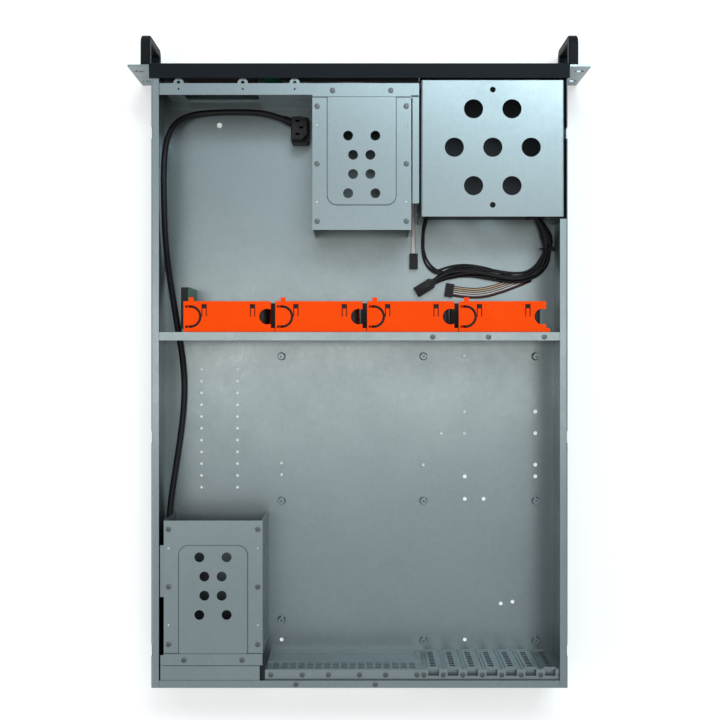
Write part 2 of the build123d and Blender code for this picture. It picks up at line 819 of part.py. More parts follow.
# Front wall: plate with a rearward flange, three lugs forward, a window and two ports
front_wall_width = rail_half - front_wall_end
lug_xs = [half_width - gap for gap in lug_from_wall]
with BuildPart() as front_wall:
    with BuildSketch(Plane.YZ.offset(front_wall_end)):
        with BuildLine():
            Polyline(
                (front_wall_y, sheet),
                (front_wall_y, front_wall_top),
                (front_wall_y + front_wall_flange, front_wall_top),
                (front_wall_y + front_wall_flange, front_wall_top - sheet),
                (front_wall_y + sheet, front_wall_top - sheet),
                (front_wall_y + sheet, 2 * sheet),
                (front_wall_y + front_foot, 2 * sheet),
                (front_wall_y + front_foot, sheet),
                close=True,
            )
        make_face()
    extrude(amount=front_wall_width)
    with BuildSketch(Plane.XY.offset(front_wall_top)):
        with Locations(*[(x, front_wall_y) for x in lug_xs]):
            Circle(lug_r)
        with Locations(*[(x, front_wall_y + lug_r) for x in lug_xs]):
            Rectangle(2 * lug_r, 2 * lug_r)
    extrude(amount=-sheet)
    with BuildSketch(Plane.XY.offset(front_wall_top)):
        with Locations(*[(x, front_wall_y - lug_hole_r / 2) for x in lug_xs]):
            Circle(lug_hole_r)
        with Locations(*[(x, front_wall_y + front_wall_flange / 2) for x in lug_xs]):
            Circle(lug_pin_hole_r)
        with Locations(
            (front_cage_x + cage_mount_screws, front_cage_y - cage_mount_flange / 2),
            (front_cage_x - cage_mount_screws, front_cage_y - cage_mount_flange / 2),
        ):
            Circle(screw_shank_r + screw_gap)
    extrude(amount=-sheet, mode=Mode.SUBTRACT)
    with BuildSketch(Plane.XZ.offset(-front_wall_y)):
        with Locations((half_width - front_window_from_wall, front_window_z)):
            RectangleRounded(front_window_width, front_window_height, front_window_corner)
        port_z = front_wall_top - front_port_down
        with Locations(*[(half_width - gap, port_z) for gap in front_port_from_wall]):
            Circle(front_port_r)
        with Locations((front_wall_end + lead_port_from_end, lead_port_z)):
            RectangleRounded(lead_port_width, lead_port_height, lead_port_corner)
    extrude(amount=-sheet, mode=Mode.SUBTRACT)
save(front_wall, "front_wall")

# Bay cage: top, two sides and their feet
with BuildPart() as bay_cage:
    with BuildSketch(Plane.XZ.offset(-bay_rear)) as hoop:
        with BuildLine():
            left = bay_x - bay_width / 2
            right = bay_x + bay_width / 2
            Polyline(
                (left, sheet),
                (left, bay_top),
                (right, bay_top),
                (right, sheet),
                (right - bay_foot, sheet),
                (right - bay_foot, 2 * sheet),
                (right - sheet, 2 * sheet),
                (right - sheet, bay_top - sheet),
                (left + sheet, bay_top - sheet),
                (left + sheet, 2 * sheet),
                (left + bay_foot, 2 * sheet),
                (left + bay_foot, sheet),
                close=True,
            )
        make_face()
        fillet(hoop.vertices().group_by(Axis.Y)[-1], bend)
    extrude(amount=bay_depth)
    bay_y = (bay_front + bay_rear) / 2 - sheet
    with BuildSketch(Plane.XY.offset(bay_top)):
        with Locations((bay_x, bay_y)):
            with GridLocations(bay_hole_pitch, bay_hole_pitch, 3, 1):
                Circle(bay_hole_r)
            with GridLocations(bay_hole_pitch, 2 * bay_hole_pitch, 2, 2):
                Circle(bay_hole_r)
            with GridLocations(bay_hole_pitch, 2 * bay_small_hole_gap, 1, 2):
                Circle(bay_small_hole_r)
    extrude(amount=-sheet, mode=Mode.SUBTRACT)
    with BuildSketch(Plane.YZ.offset(left)):
        with Locations((bay_y, bay_top / 2)):
            with GridLocations(bay_hole_pitch * 2, bay_hole_pitch, 2, 2):
                SlotOverall(bay_side_slot_length, bay_side_slot_width)
    extrude(amount=bay_width, mode=Mode.SUBTRACT)
save(bay_cage, "bay_cage")


# Drive cage: two sides with top flanges and feet, an end wall with a mounting flange
def drive_cage(centre_x, end_y, direction, flange_side, flange_width, flange_from, flange_length, name):
    cage_mount_top = wall_top - cage_mount_drop
    free_y = end_y - direction * cage_depth
    middle_y = (end_y + free_y) / 2
    with BuildPart() as cage:
        for side in (1, -1):
            outer = centre_x + side * cage_width / 2
            with BuildSketch(Plane.XZ.offset(-max(end_y, free_y))):
                with BuildLine():
                    Polyline(
                        (outer, sheet),
                        (outer, cage_top),
                        (outer - side * cage_flange, cage_top),
                        (outer - side * cage_flange, cage_top - sheet),
                        (outer - side * sheet, cage_top - sheet),
                        (outer - side * sheet, 2 * sheet),
                        (outer - side * cage_foot, 2 * sheet),
                        (outer - side * cage_foot, sheet),
                        close=True,
                    )
                make_face()
            extrude(amount=cage_depth)
        # End wall and its mounting flange
        with BuildSketch(Plane.XZ.offset(-end_y)):
            with Locations((centre_x, (sheet + cage_mount_top) / 2)):
                Rectangle(cage_width, cage_mount_top - sheet)
        extrude(amount=direction * sheet)
        flange_extra = 0 if flange_from else flange_width
        mount_y = end_y + direction * cage_mount_flange / 2
        with BuildSketch(Plane.XY.offset(cage_mount_top)):
            with Locations((centre_x + flange_side * flange_extra / 2, mount_y)):
                Rectangle(cage_width + flange_extra, cage_mount_flange)
            with Locations((centre_x, end_y - direction * sheet / 2)):
                Rectangle(cage_width, sheet)
            with Locations((centre_x, mount_y)):
                with GridLocations(2 * cage_mount_screws, cage_mount_screws, 2, 1):
                    Circle(screw_shank_r + screw_gap, mode=Mode.SUBTRACT)
        extrude(amount=-sheet)
        # Outward flange along one side
        with BuildSketch(Plane.XY.offset(cage_top)):
            with Locations(
                (
                    centre_x + flange_side * (cage_width + flange_width) / 2,
                    end_y - direction * (flange_from + flange_length / 2),
                )
            ):
                Rectangle(flange_width, flange_length)
        extrude(amount=-sheet)
        # Slots in the sides for the drives' screws
        with BuildSketch(Plane.YZ.offset(centre_x - cage_width / 2)):
            with Locations(*[(middle_y, z) for z in cage_slot_zs]):
                with GridLocations(cage_depth / 2, cage_slot_width, 2, 1):
                    SlotOverall(cage_slot_length, cage_slot_width)
        extrude(amount=cage_width, mode=Mode.SUBTRACT)
        # Holes under the cover's screws
        with BuildSketch(Plane.XY.offset(cage_top)):
            for side in (1, -1):
                for row in cover_screw_rows:
                    with Locations(
                        (
                            centre_x + side * (cage_width / 2 - cover_screw_from_edge),
                            end_y - direction * row,
                        )
                    ):
                        Circle(screw_shank_r + screw_gap)
        extrude(amount=-sheet, mode=Mode.SUBTRACT)
    save(cage, name)


# Drive cage cover: plate with a pressed stiffening field, vent holes and screw holes
def drive_cage_cover(centre_x, end_y, direction, name):
    plate_y = end_y - direction * (sheet + fit_gap + cage_depth) / 2
    plate_length = cage_depth - sheet - fit_gap
    field_end = end_y - direction * (cage_depth - cover_emboss_end)
    field_start = end_y - direction * (sheet + fit_gap)
    with BuildPart() as cover:
        with BuildSketch(Plane.XY.offset(cage_top)):
            with Locations((centre_x, plate_y)):
                Rectangle(cage_width, plate_length)
        extrude(amount=sheet)
        with BuildSketch(Plane.XY.offset(cage_top + sheet)) as field:
            with Locations((centre_x, (field_start + field_end) / 2)):
                Rectangle(cover_emboss_width, abs(field_end - field_start))
            closed = field.vertices().sort_by_distance((centre_x, field_end))[:2]
            fillet(closed, cover_emboss_corner)
        extrude(amount=cover_emboss_height)
        with BuildSketch(Plane.XY.offset(cage_top)) as underside:
            with Locations((centre_x, (field_start + field_end) / 2)):
                Rectangle(cover_emboss_width - 2 * sheet, abs(field_end - field_start) - 2 * sheet)
            hollow_end = field_end + direction * sheet
            closed = underside.vertices().sort_by_distance((centre_x, hollow_end))[:2]
            fillet(closed, cover_emboss_corner - sheet)
        extrude(amount=cover_emboss_height, mode=Mode.SUBTRACT)
        with BuildSketch(Plane.XY.offset(cage_top)):
            for index, row in enumerate(cover_hole_rows):
                inner_row = 0 < index < len(cover_hole_rows) - 1
                gap = cover_hole_gap_inner if inner_row else cover_hole_gap_outer
                with Locations((centre_x, end_y - direction * row)):
                    with GridLocations(gap, gap, 2, 1):
                        Circle(cover_hole_r)
            edge_gap = cage_width - 2 * cover_screw_from_edge
            for row in cover_screw_rows:
                with Locations((centre_x, end_y - direction * row)):
                    with GridLocations(edge_gap, edge_gap, 2, 1):
                        Circle(screw_shank_r + screw_gap)
            for row in cover_hole_small_rows:
                with Locations((centre_x, end_y - direction * row)):
                    with GridLocations(edge_gap, edge_gap, 2, 1):
                        Circle(cover_small_hole_r)
        extrude(amount=sheet + cover_emboss_height, mode=Mode.SUBTRACT)
    save(cover, name)


def drive_cage_screws(centre_x, end_y, direction, name):
    edge = cage_width / 2 - cover_screw_from_edge
    places = [
        (centre_x + side * edge, end_y - direction * row, cage_top + sheet)
        for side in (1, -1)
        for row in cover_screw_rows
    ]
    flange_y = end_y + direction * cage_mount_flange / 2
    places += [
        (centre_x + side * cage_mount_screws, flange_y, wall_top - cage_mount_drop) for side in (1, -1)
    ]
    screw_group(places, name)


drive_cage(
    front_cage_x,
    front_cage_y,
    -1,
    -1,
    front_cage_flange,
    0,
    front_cage_flange_length,
    "front_drive_cage",
)
drive_cage_cover(front_cage_x, front_cage_y, -1, "front_drive_cage_cover")
drive_cage_screws(front_cage_x, front_cage_y, -1, "front_cage_screws")
drive_cage(
    rear_cage_x,
    rear_cage_y,
    1,
    1,
    rear_cage_flange,
    rear_cage_flange_from_end,
    rear_cage_flange_length,
    "rear_drive_cage",
)
drive_cage_cover(rear_cage_x, rear_cage_y, 1, "rear_drive_cage_cover")
drive_cage_screws(rear_cage_x, rear_cage_y, 1, "rear_cage_screws")

# Bracket from the rear wall under the rear cage's mounting flange
bracket_top = wall_top - cage_mount_drop - sheet
bracket_x = half_width - bracket_from_wall - bracket_width / 2
bracket_end = rear_cage_y + fit_gap
with BuildPart() as rear_cage_bracket:
    with BuildSketch(Plane.YZ.offset(bracket_x - bracket_width / 2)):
        with BuildLine():
            Polyline(
                (bracket_end, bracket_top),
                (y_rear - sheet, bracket_top),
                (y_rear - sheet, bracket_top - bracket_skirt),
                (y_rear - 2 * sheet, bracket_top - bracket_skirt),
                (y_rear - 2 * sheet, bracket_top - sheet),
                (bracket_end, bracket_top - sheet),
                close=True,
            )
        make_face()
    extrude(amount=bracket_width)
    with BuildSketch(Plane.XY.offset(bracket_top)):
        for shift in (1, -1):
            with Locations((rear_cage_x + shift * cage_mount_screws, rear_cage_y + cage_mount_flange / 2)):
                Circle(screw_shank_r + screw_gap)
    extrude(amount=-sheet, mode=Mode.SUBTRACT)
save(rear_cage_bracket, "rear_cage_bracket")

# Fan wall: plate with a rearward flange and foot, four round openings and a cable notch
fan_wall_screw_xs = [gap - half_width for gap in fan_wall_screw_from_wall]
with BuildPart() as fan_wall:
    with BuildSketch(Plane.YZ.offset(-panel_half)):
        with BuildLine():
            Polyline(
                (fan_wall_y, sheet),
                (fan_wall_y, wall_top),
                (fan_wall_y + fan_wall_flange, wall_top),
                (fan_wall_y + fan_wall_flange, wall_top - sheet),
                (fan_wall_y + sheet, wall_top - sheet),
                (fan_wall_y + sheet, 2 * sheet),
                (fan_wall_y + fan_wall_foot, 2 * sheet),
                (fan_wall_y + fan_wall_foot, sheet),
                close=True,
            )
        make_face()
    extrude(amount=2 * panel_half)
    with BuildSketch(Plane.XY.offset(wall_top)):
        with Locations((-panel_half, fan_wall_y), (panel_half, fan_wall_y)):
            Rectangle(2 * (panel_half - rail_half), 4 * fan_wall_flange)
    extrude(amount=-sheet - fit_gap, mode=Mode.SUBTRACT)
    with BuildSketch(Plane.XZ.offset(-fan_wall_y)):
        with Locations(*[(x, fan_z) for x in fan_xs]):
            Circle(fan_bore_r)
        notch_x = inner_half - cable_notch_from_wall - cable_notch_width / 2
        with Locations((notch_x, sheet)):
            Rectangle(cable_notch_width, 2 * cable_notch_height)
    extrude(amount=-fan_wall_foot, mode=Mode.SUBTRACT)
    with BuildSketch(Plane.XY.offset(wall_top)):
        with Locations(*[(x, fan_wall_y + fan_wall_flange / 2 + sheet / 2) for x in fan_wall_screw_xs]):
            Circle(screw_shank_r + screw_gap)
    extrude(amount=-sheet, mode=Mode.SUBTRACT)
save(fan_wall, "fan_wall")
screw_group(
    [(x, fan_wall_y + fan_wall_flange / 2 + sheet / 2, wall_top) for x in fan_wall_screw_xs],
    "fan_wall_screws",
)

# Fan modules: moulded carrier, square fan frame and rotor
fan_front = fan_y - fan_depth / 2
fan_back = fan_y + fan_depth / 2
carrier_front = fan_y - carrier_depth / 2
carrier_back = fan_y + carrier_depth / 2
strut_y = fan_back - fan_strut_depth
cup_back = strut_y - rotor_gap
cup_front = cup_back - hub_length
for index, fan_x in enumerate(fan_xs):
    number = index + 1
    with BuildPart() as carrier:
        # Body with a pocket for the fan, open below, and a wider top
        with BuildSketch(Plane.XY.offset(carrier_z + carrier_top)):
            with Locations((fan_x, fan_y)):
                Rectangle(fan_body_width, carrier_depth)
        extrude(amount=-carrier_z - carrier_top + sheet + fit_gap)
        with BuildSketch(Plane.XY.offset(carrier_z)):
            with Locations((fan_x, fan_y)):
                Rectangle(fan_body_width + 2 * carrier_overhang, carrier_depth)
            with Locations((fan_x - carrier_half, carrier_back - carrier_foot_width / 2)):
                Rectangle(2 * carrier_foot_length, carrier_foot_width)
            with Locations((fan_x + carrier_half - carrier_tab_in, carrier_front)):
                Rectangle(carrier_tab_width, 2 * carrier_tab_reach)
        extrude(amount=carrier_top)
        with BuildSketch(Plane.XY.offset(carrier_z)):
            with Locations((fan_x, fan_y)):
                Rectangle(fan_size + 2 * fit_gap, fan_depth + 2 * fit_gap)
        extrude(amount=-carrier_z, mode=Mode.SUBTRACT)
        with BuildSketch(Plane.XZ.offset(-carrier_front)):
            with Locations((fan_x, fan_z)):
                Circle(fan_bore_r)
            with Locations((fan_x, fan_z - fan_size / 2)):
                Rectangle(fan_bore_r, fan_bore_r)
        extrude(amount=-carrier_depth, mode=Mode.SUBTRACT)
        # Finger notch, spring slits and the slit of the pull
        with BuildSketch(Plane.XY.offset(carrier_z)):
            with Locations((fan_x - carrier_half, fan_y)):
                Circle(carrier_notch_r)
            for latch_in in carrier_latch_ins:
                latch_x = fan_x + carrier_half - latch_in
                latch_y = carrier_front + carrier_latch_from_front
                with Locations((latch_x, latch_y)):
                    Rectangle(carrier_latch_width, carrier_slit)
                with Locations((latch_x, latch_y + carrier_latch_length / 2)):
                    with GridLocations(carrier_latch_width - carrier_slit / 2, 1, 2, 1):
                        Rectangle(carrier_slit / 2, carrier_latch_length)
            pull = CenterArc(
                (fan_x + carrier_half - carrier_arc_in, fan_y),
                carrier_arc_r,
                90,
                180,
                mode=Mode.PRIVATE,
            )
            SlotArc(pull, carrier_slit)
        extrude(amount=carrier_top, mode=Mode.SUBTRACT)
    save(carrier, f"fan_carrier_{number}")

    with BuildPart() as frame:
        with BuildSketch(Plane.XZ.offset(-fan_front)):
            with Locations((fan_x, fan_z)):
                RectangleRounded(fan_size, fan_size, fan_corner)
                Circle(fan_bore_r - fit_gap, mode=Mode.SUBTRACT)
                corner_gap = fan_size - 2 * fan_corner_hole_in
                with GridLocations(corner_gap, corner_gap, 2, 2):
                    Circle(fan_corner_hole_r, mode=Mode.SUBTRACT)
        extrude(amount=-fan_depth)
        with BuildSketch(Plane.XZ.offset(-strut_y)):
            with Locations((fan_x, fan_z)):
                Circle(hub_r)
                for turn in range(fan_strut_count // 2):
                    Rectangle(
                        2 * fan_bore_r,
                        fan_strut_width,
                        rotation=45 + 360 / fan_strut_count * turn,
                    )
        extrude(amount=-fan_strut_depth)
        with BuildSketch(Plane.XZ.offset(-strut_y)):
            with Locations((fan_x, fan_z)):
                Circle(stator_r)
        extrude(amount=stator_length)
        with BuildSketch(Plane.XZ.offset(stator_length - strut_y)):
            with Locations((fan_x, fan_z)):
                Circle(shaft_r + shaft_gap)
        extrude(amount=-stator_length, mode=Mode.SUBTRACT)
    save(frame, f"fan_frame_{number}")

    with BuildPart() as rotor:
        # Hub cup over the stator, with its shaft
        with BuildSketch(Plane.XZ.offset(-cup_front)):
            with Locations((fan_x, fan_z)):
                Circle(hub_r)
        extrude(amount=-hub_length)
        with BuildSketch(Plane.XZ.offset(-cup_front - hub_wall)):
            with Locations((fan_x, fan_z)):
                Circle(hub_r - hub_wall)
                Circle(shaft_r, mode=Mode.SUBTRACT)
        extrude(amount=hub_wall - hub_length, mode=Mode.SUBTRACT)
        # Twisted blades
        blade_y = (cup_front + cup_back) / 2
        tip_r = fan_bore_r - blade_tip_gap - blade_tip_sag
        for blade in range(blade_count):
            turn = 2 * pi * blade / blade_count
            outward = Vector(sin(turn), 0, cos(turn))
            across = Vector(cos(turn), 0, -sin(turn))
            for r, chord, pitch in (
                (hub_r - hub_wall / 2, blade_root_chord, blade_root_pitch),
                (tip_r, blade_tip_chord, blade_tip_pitch),
            ):
                lean = across * cos(radians(pitch)) + Vector(0, sin(radians(pitch)), 0)
                centre = Vector(fan_x, blade_y, fan_z) + outward * r
                with BuildSketch(Plane(origin=centre, x_dir=lean, z_dir=outward)):
                    Rectangle(chord, blade_sheet)
            loft(ruled=True)
    save(rotor, f"fan_rotor_{number}")

# Fan boards standing on the floor, and the pin sockets on them
socket_y0 = carrier_front + socket_board_front
socket_y1 = carrier_back - socket_end
with BuildPart() as fan_boards:
    for index, fan_x in enumerate(fan_xs):
        board_lead = socket_board_lead if index == 0 else 0
        board_x = fan_x + fan_body_width / 2 + fit_gap
        with BuildSketch(Plane.YZ.offset(board_x)):
            with Locations(((socket_y0 - board_lead + socket_y1) / 2, sheet + socket_board_height / 2)):
                Rectangle(socket_y1 - socket_y0 + board_lead, socket_board_height)
        extrude(amount=socket_board_sheet)
save(fan_boards, "fan_boards")

with BuildPart() as fan_sockets:
    for index, fan_x in enumerate(fan_xs):
        board_lead = socket_board_lead if index == 0 else 0
        block_x = fan_x + fan_body_width / 2 + fit_gap + socket_board_sheet
        block_z = sheet + socket_board_height - socket_height / 2
        with BuildSketch(Plane.YZ.offset(block_x)):
            with Locations(((socket_y0 - board_lead + socket_y1) / 2, block_z)):
                Rectangle(socket_y1 - socket_y0 + board_lead, socket_height)
        extrude(amount=socket_width)
save(fan_sockets, "fan_sockets")

# Mains inlet: flanged shell in the rear wall with three pins, and a cable boss inside
inlet_back = y_rear - inlet_depth
with BuildPart() as mains_inlet:
    with BuildSketch(Plane.XZ.offset(-y_rear)):
        with Locations((inlet_x, inlet_z)):
            Rectangle(inlet_width + 2 * inlet_flange, inlet_height + 2 * inlet_flange)
    extrude(amount=-inlet_flange_sheet)
    with BuildSketch(Plane.XZ.offset(-y_rear)):
        with Locations((inlet_x, inlet_z)):
            Rectangle(inlet_width, inlet_height)
    extrude(amount=inlet_depth)
    with BuildSketch(Plane.XZ.offset(-y_rear - inlet_flange_sheet)):
        with Locations((inlet_x, inlet_z)):
            Rectangle(inlet_width - 2 * inlet_wall, inlet_height - 2 * inlet_wall)
            for step in (-1, 0, 1):
                pin_z = inlet_pin_offset * (1 if step == 0 else -1)
                with Locations((step * inlet_pin_gap, pin_z)):
                    Rectangle(inlet_pin_width, inlet_pin_height, mode=Mode.SUBTRACT)
    extrude(amount=inlet_pin_length + inlet_flange_sheet, mode=Mode.SUBTRACT)
    with BuildSketch(Plane.XZ.offset(-inlet_back)):
        with Locations((inlet_x + inlet_boss_shift, inlet_z)):
            Circle(inlet_boss_r)
    extrude(amount=inlet_boss_length)
save(mains_inlet, "mains_inlet")


# A cord's path: straight runs joined by arcs as large as the runs allow
def corner_radii(points):
    radii = []
    for a, b, c in zip(points, points[1:], points[2:]):
        before = Vector(*b) - Vector(*a)
        after = Vector(*c) - Vector(*b)
        turn = radians(before.get_angle(after))
        radii.append(bend_share * min(before.length, after.length) / tan(turn / 2))
    return radii


def cord(points, section_width, section_height, name):
    radii = corner_radii(points)
    with BuildPart() as tube:
        with BuildLine() as route:
            FilletPolyline(*points, radius=radii)
        along = route.line % 0
        start = Plane(origin=route.line @ 0, x_dir=along.cross(Vector(0, 0, 1)), z_dir=along)
        with BuildSketch(start):
            if section_width == section_height:
                Circle(section_width / 2)
            else:
                Rectangle(section_width, section_height)
        sweep()
    save(tube, name)
    length = sum(edge.length for edge in route.edges())
    print(name, "length", round(length, 1))
    print("  radii", [round(r, 1) for r in radii])


# Mains plug, lying with its face up, and the cord from it to the inlet
plug_z = sheet
relief_way = Vector(cos(radians(plug_relief_angle)), sin(radians(plug_relief_angle)), 0)
relief_start = Vector(
    plug_x + plug_body_width / 2 - plug_relief_r,
    plug_y - plug_body_length / 2 + plug_relief_r,
    plug_z + plug_relief_z,
)
relief_tip = relief_start + relief_way * plug_relief_length
with BuildPart() as mains_plug:
    with BuildSketch(Plane.XY.offset(plug_z)):
        with Locations((plug_x, plug_y)):
            Rectangle(plug_body_width, plug_body_length)
    extrude(amount=plug_body_height)
    chamfer(mains_plug.edges().filter_by(Axis.Z), plug_edge)
    with BuildSketch(Plane.XY.offset(plug_z + plug_body_height)) as nose:
        with Locations((plug_x, plug_y)):
            Rectangle(plug_nose_width, plug_nose_length)
        chamfer(nose.vertices().group_by(Axis.X)[0], plug_nose_chamfer)
    extrude(amount=plug_nose_height)
    with BuildSketch(Plane.XY.offset(plug_z + plug_body_height + plug_nose_height)):
        with Locations((plug_x, plug_y)):
            for step in (-1, 0, 1):
                pin_x = plug_pin_offset * (-1 if step == 0 else 1)
                with Locations((pin_x, step * plug_pin_gap)):
                    Rectangle(plug_pin_length, plug_pin_width)
    extrude(amount=-plug_pin_depth, mode=Mode.SUBTRACT)
    with BuildSketch(Plane(origin=relief_start, x_dir=(0, 0, 1), z_dir=relief_way)):
        Circle(plug_relief_r)
    with BuildSketch(Plane(origin=relief_tip, x_dir=(0, 0, 1), z_dir=relief_way)):
        Circle(plug_relief_tip_r)
    loft()
save(mains_plug, "mains_plug")

floor_z = sheet + cord_r + fit_gap
relief_lead = relief_tip + relief_way * plug_lead
cord_points = [
    (relief_tip.X, relief_tip.Y, relief_tip.Z),
    (relief_lead.X, relief_lead.Y, relief_lead.Z),
    (107, -289, 9),
    (121, -290.6, 6.8),
    (140, -291, 5.2),
    (162, -290.5, 5.4),
    (184, -287.6, 10),
    (200, -278.2, 19),
    (208.5, -262, 28),
    (211.3, -240, 35),
    (211.6, -215, 38.5),
    (211.2, -188, 38),
    (211.5, -161, 32),
    (211.2, -136, 22),
    (210, -112, 12),
    (207.2, -89, 6.3),
    (203.8, -66, floor_z),
    (200, -43, floor_z),
    (196.2, -19, floor_z),
    (194, 6, floor_z),
    (194.4, 32, floor_z),
    (197, 58, floor_z),
    (200.6, 84, floor_z),
    (204.6, 110, floor_z),
    (208.6, 136, 5.2),
    (210.8, 163, 7.5),
    (211.2, 190, 11),
    (210.8, 217, 15.5),
    (210.1, 241, 20),
    (inlet_x + inlet_boss_shift, 262, inlet_z - 0.8),
    (inlet_x + inlet_boss_shift, 280.5, inlet_z),
    (inlet_x + inlet_boss_shift, inlet_back - inlet_boss_length, inlet_z),
]
cord(cord_points, 2 * cord_r, 2 * cord_r, "mains_cord")

# Wire harness on the floor in front of the fans
bundle_z = sheet + bundle_r + tie_wall + 3 * fit_gap
connector_height = 2 * (bundle_z - sheet - fit_gap)
bundle_points = [
    (-194, -177, bundle_z),
    (-202.5, -163, bundle_z + 0.4),
    (-208.9, -147, bundle_z),
    (-207.3, -131, bundle_z),
    (-199.5, -116.5, bundle_z),
    (-185.5, -108.2, bundle_z),
    (-168, -107, bundle_z),
    (-148, -110, bundle_z),
    (-127, -113.5, bundle_z),
    (-108, -113.5, bundle_z),
    (-92, -109, bundle_z),
    (-80, -101.5, bundle_z),
]
cord(bundle_points, 2 * bundle_r, 2 * bundle_r, "harness_bundle")

# Lead from the control board: behind the bezel, through the front wall, to a connector on the floor
lead_z = sheet + lead_r + fit_gap
lead_points = [
    (controls_x - board_width / 2 - fit_gap, board_y + board_sheet / 2, 46),
    (64, board_y + board_sheet / 2, 46),
    (43, -309.2, 54),
    (15, -308, 65),
    (-12, -308.2, 62),
    (-34, -308.6, 51),
    (-47, -309, 38),
    (-55.5, -303.5, 24),
    (-58.3, -291, 12),
    (-58.6, -274, lead_z + 1.5),
    (-58.8, -257, lead_z),
    (-58.2, -240, lead_z),
    (-58.8, -214, lead_z),
    (-58.4, -190, lead_z),
    (-59.3, -168, lead_z),
    (-60, -150, lead_z + 0.6),
    (-60, -134, lead_z + 1),
]
cord(lead_points, 2 * lead_r, 2 * lead_r, "panel_lead")

ribbon_z = sheet + ribbon_sheet / 2 + fit_gap
ribbon_points = [
    (-189, -108.6, ribbon_z),
    (-172, -101.5, ribbon_z),
    (-154, -95, ribbon_z),
    (-137, -90.5, ribbon_z),
    (-119, -90.2, ribbon_z),
    (-104, -92.8, ribbon_z),
]
cord(ribbon_points, ribbon_width, ribbon_sheet, "harness_ribbon")


# Connector shell on the end of a lead, with a pin cavity in its face
def connector(at, way, width, length, height, name):
    along = Vector(*way).normalized()
    base = Plane(origin=at, x_dir=along.cross(Vector(0, 0, 1)), z_dir=along)
    with BuildPart() as shell:
        with BuildSketch(base):
            Rectangle(width, height)
        extrude(amount=length)
        with BuildSketch(base.offset(length)):
            Rectangle(width - 2 * connector_wall, height - 2 * connector_wall)
        extrude(amount=-connector_cavity, mode=Mode.SUBTRACT)
    save(shell, name)


bundle_way = Vector(*bundle_points[-1]) - Vector(*bundle_points[-2])
connector(
    bundle_points[-1],
    bundle_way,
    connector_width,
    connector_depth,
    connector_height,
    "harness_connector",
)
bay_way = Vector(*bundle_points[0]) - Vector(*bundle_points[1])
connector(
    bundle_points[0],
    bay_way,
    connector_width,
    connector_depth,
    connector_height,
    "bay_connector",
)
lead_way = Vector(*lead_points[-1]) - Vector(*lead_points[-2])
connector(
    lead_points[-1],
    lead_way,
    small_connector_width,
    small_connector_length,
    small_connector_height,
    "panel_connector",
)
ribbon_way = Vector(*ribbon_points[-1]) - Vector(*ribbon_points[-2])
ribbon_plane = Vector(*ribbon_points[-1]) + Vector(0, 0, ribbon_plug_height / 2 - ribbon_sheet / 2)
connector(
    ribbon_plane,
    ribbon_way,
    ribbon_plug_width,
    ribbon_plug_length,
    ribbon_plug_height,
    "ribbon_connector",
)

# Tie around the bundle
tie_way = Vector(*bundle_points[3]) - Vector(*bundle_points[2])
tie_at = Vector(*bundle_points[2]) + tie_way / 2
with BuildPart() as cable_tie:
    with BuildSketch(Plane(origin=tie_at, z_dir=tie_way)):
        Circle(bundle_r + 2 * fit_gap + tie_wall)
        Circle(bundle_r + 2 * fit_gap, mode=Mode.SUBTRACT)
    extrude(amount=tie_width / 2, both=True)
save(cable_tie, "cable_tie")
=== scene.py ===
import json
import math

import bpy
from mathutils import Matrix, Vector


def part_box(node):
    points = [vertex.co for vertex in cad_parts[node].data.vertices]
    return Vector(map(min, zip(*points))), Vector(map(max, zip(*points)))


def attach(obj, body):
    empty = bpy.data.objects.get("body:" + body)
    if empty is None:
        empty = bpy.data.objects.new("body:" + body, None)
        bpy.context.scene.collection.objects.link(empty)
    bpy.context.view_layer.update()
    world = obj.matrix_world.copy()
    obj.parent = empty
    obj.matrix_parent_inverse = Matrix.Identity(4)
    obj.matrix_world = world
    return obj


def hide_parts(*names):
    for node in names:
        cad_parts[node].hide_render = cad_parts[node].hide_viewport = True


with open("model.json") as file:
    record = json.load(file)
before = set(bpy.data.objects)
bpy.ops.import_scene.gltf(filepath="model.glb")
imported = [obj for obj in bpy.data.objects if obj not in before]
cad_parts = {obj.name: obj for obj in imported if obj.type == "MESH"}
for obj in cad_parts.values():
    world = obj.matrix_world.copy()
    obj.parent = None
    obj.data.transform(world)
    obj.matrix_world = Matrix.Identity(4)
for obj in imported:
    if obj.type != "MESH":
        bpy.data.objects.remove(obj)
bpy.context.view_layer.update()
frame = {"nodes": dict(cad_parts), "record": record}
nodes = frame["nodes"]
scene = bpy.context.scene
scene.view_settings.view_transform = "Standard"
print("stage: frame loaded,", len(nodes), "nodes")


# Camera, floor and light

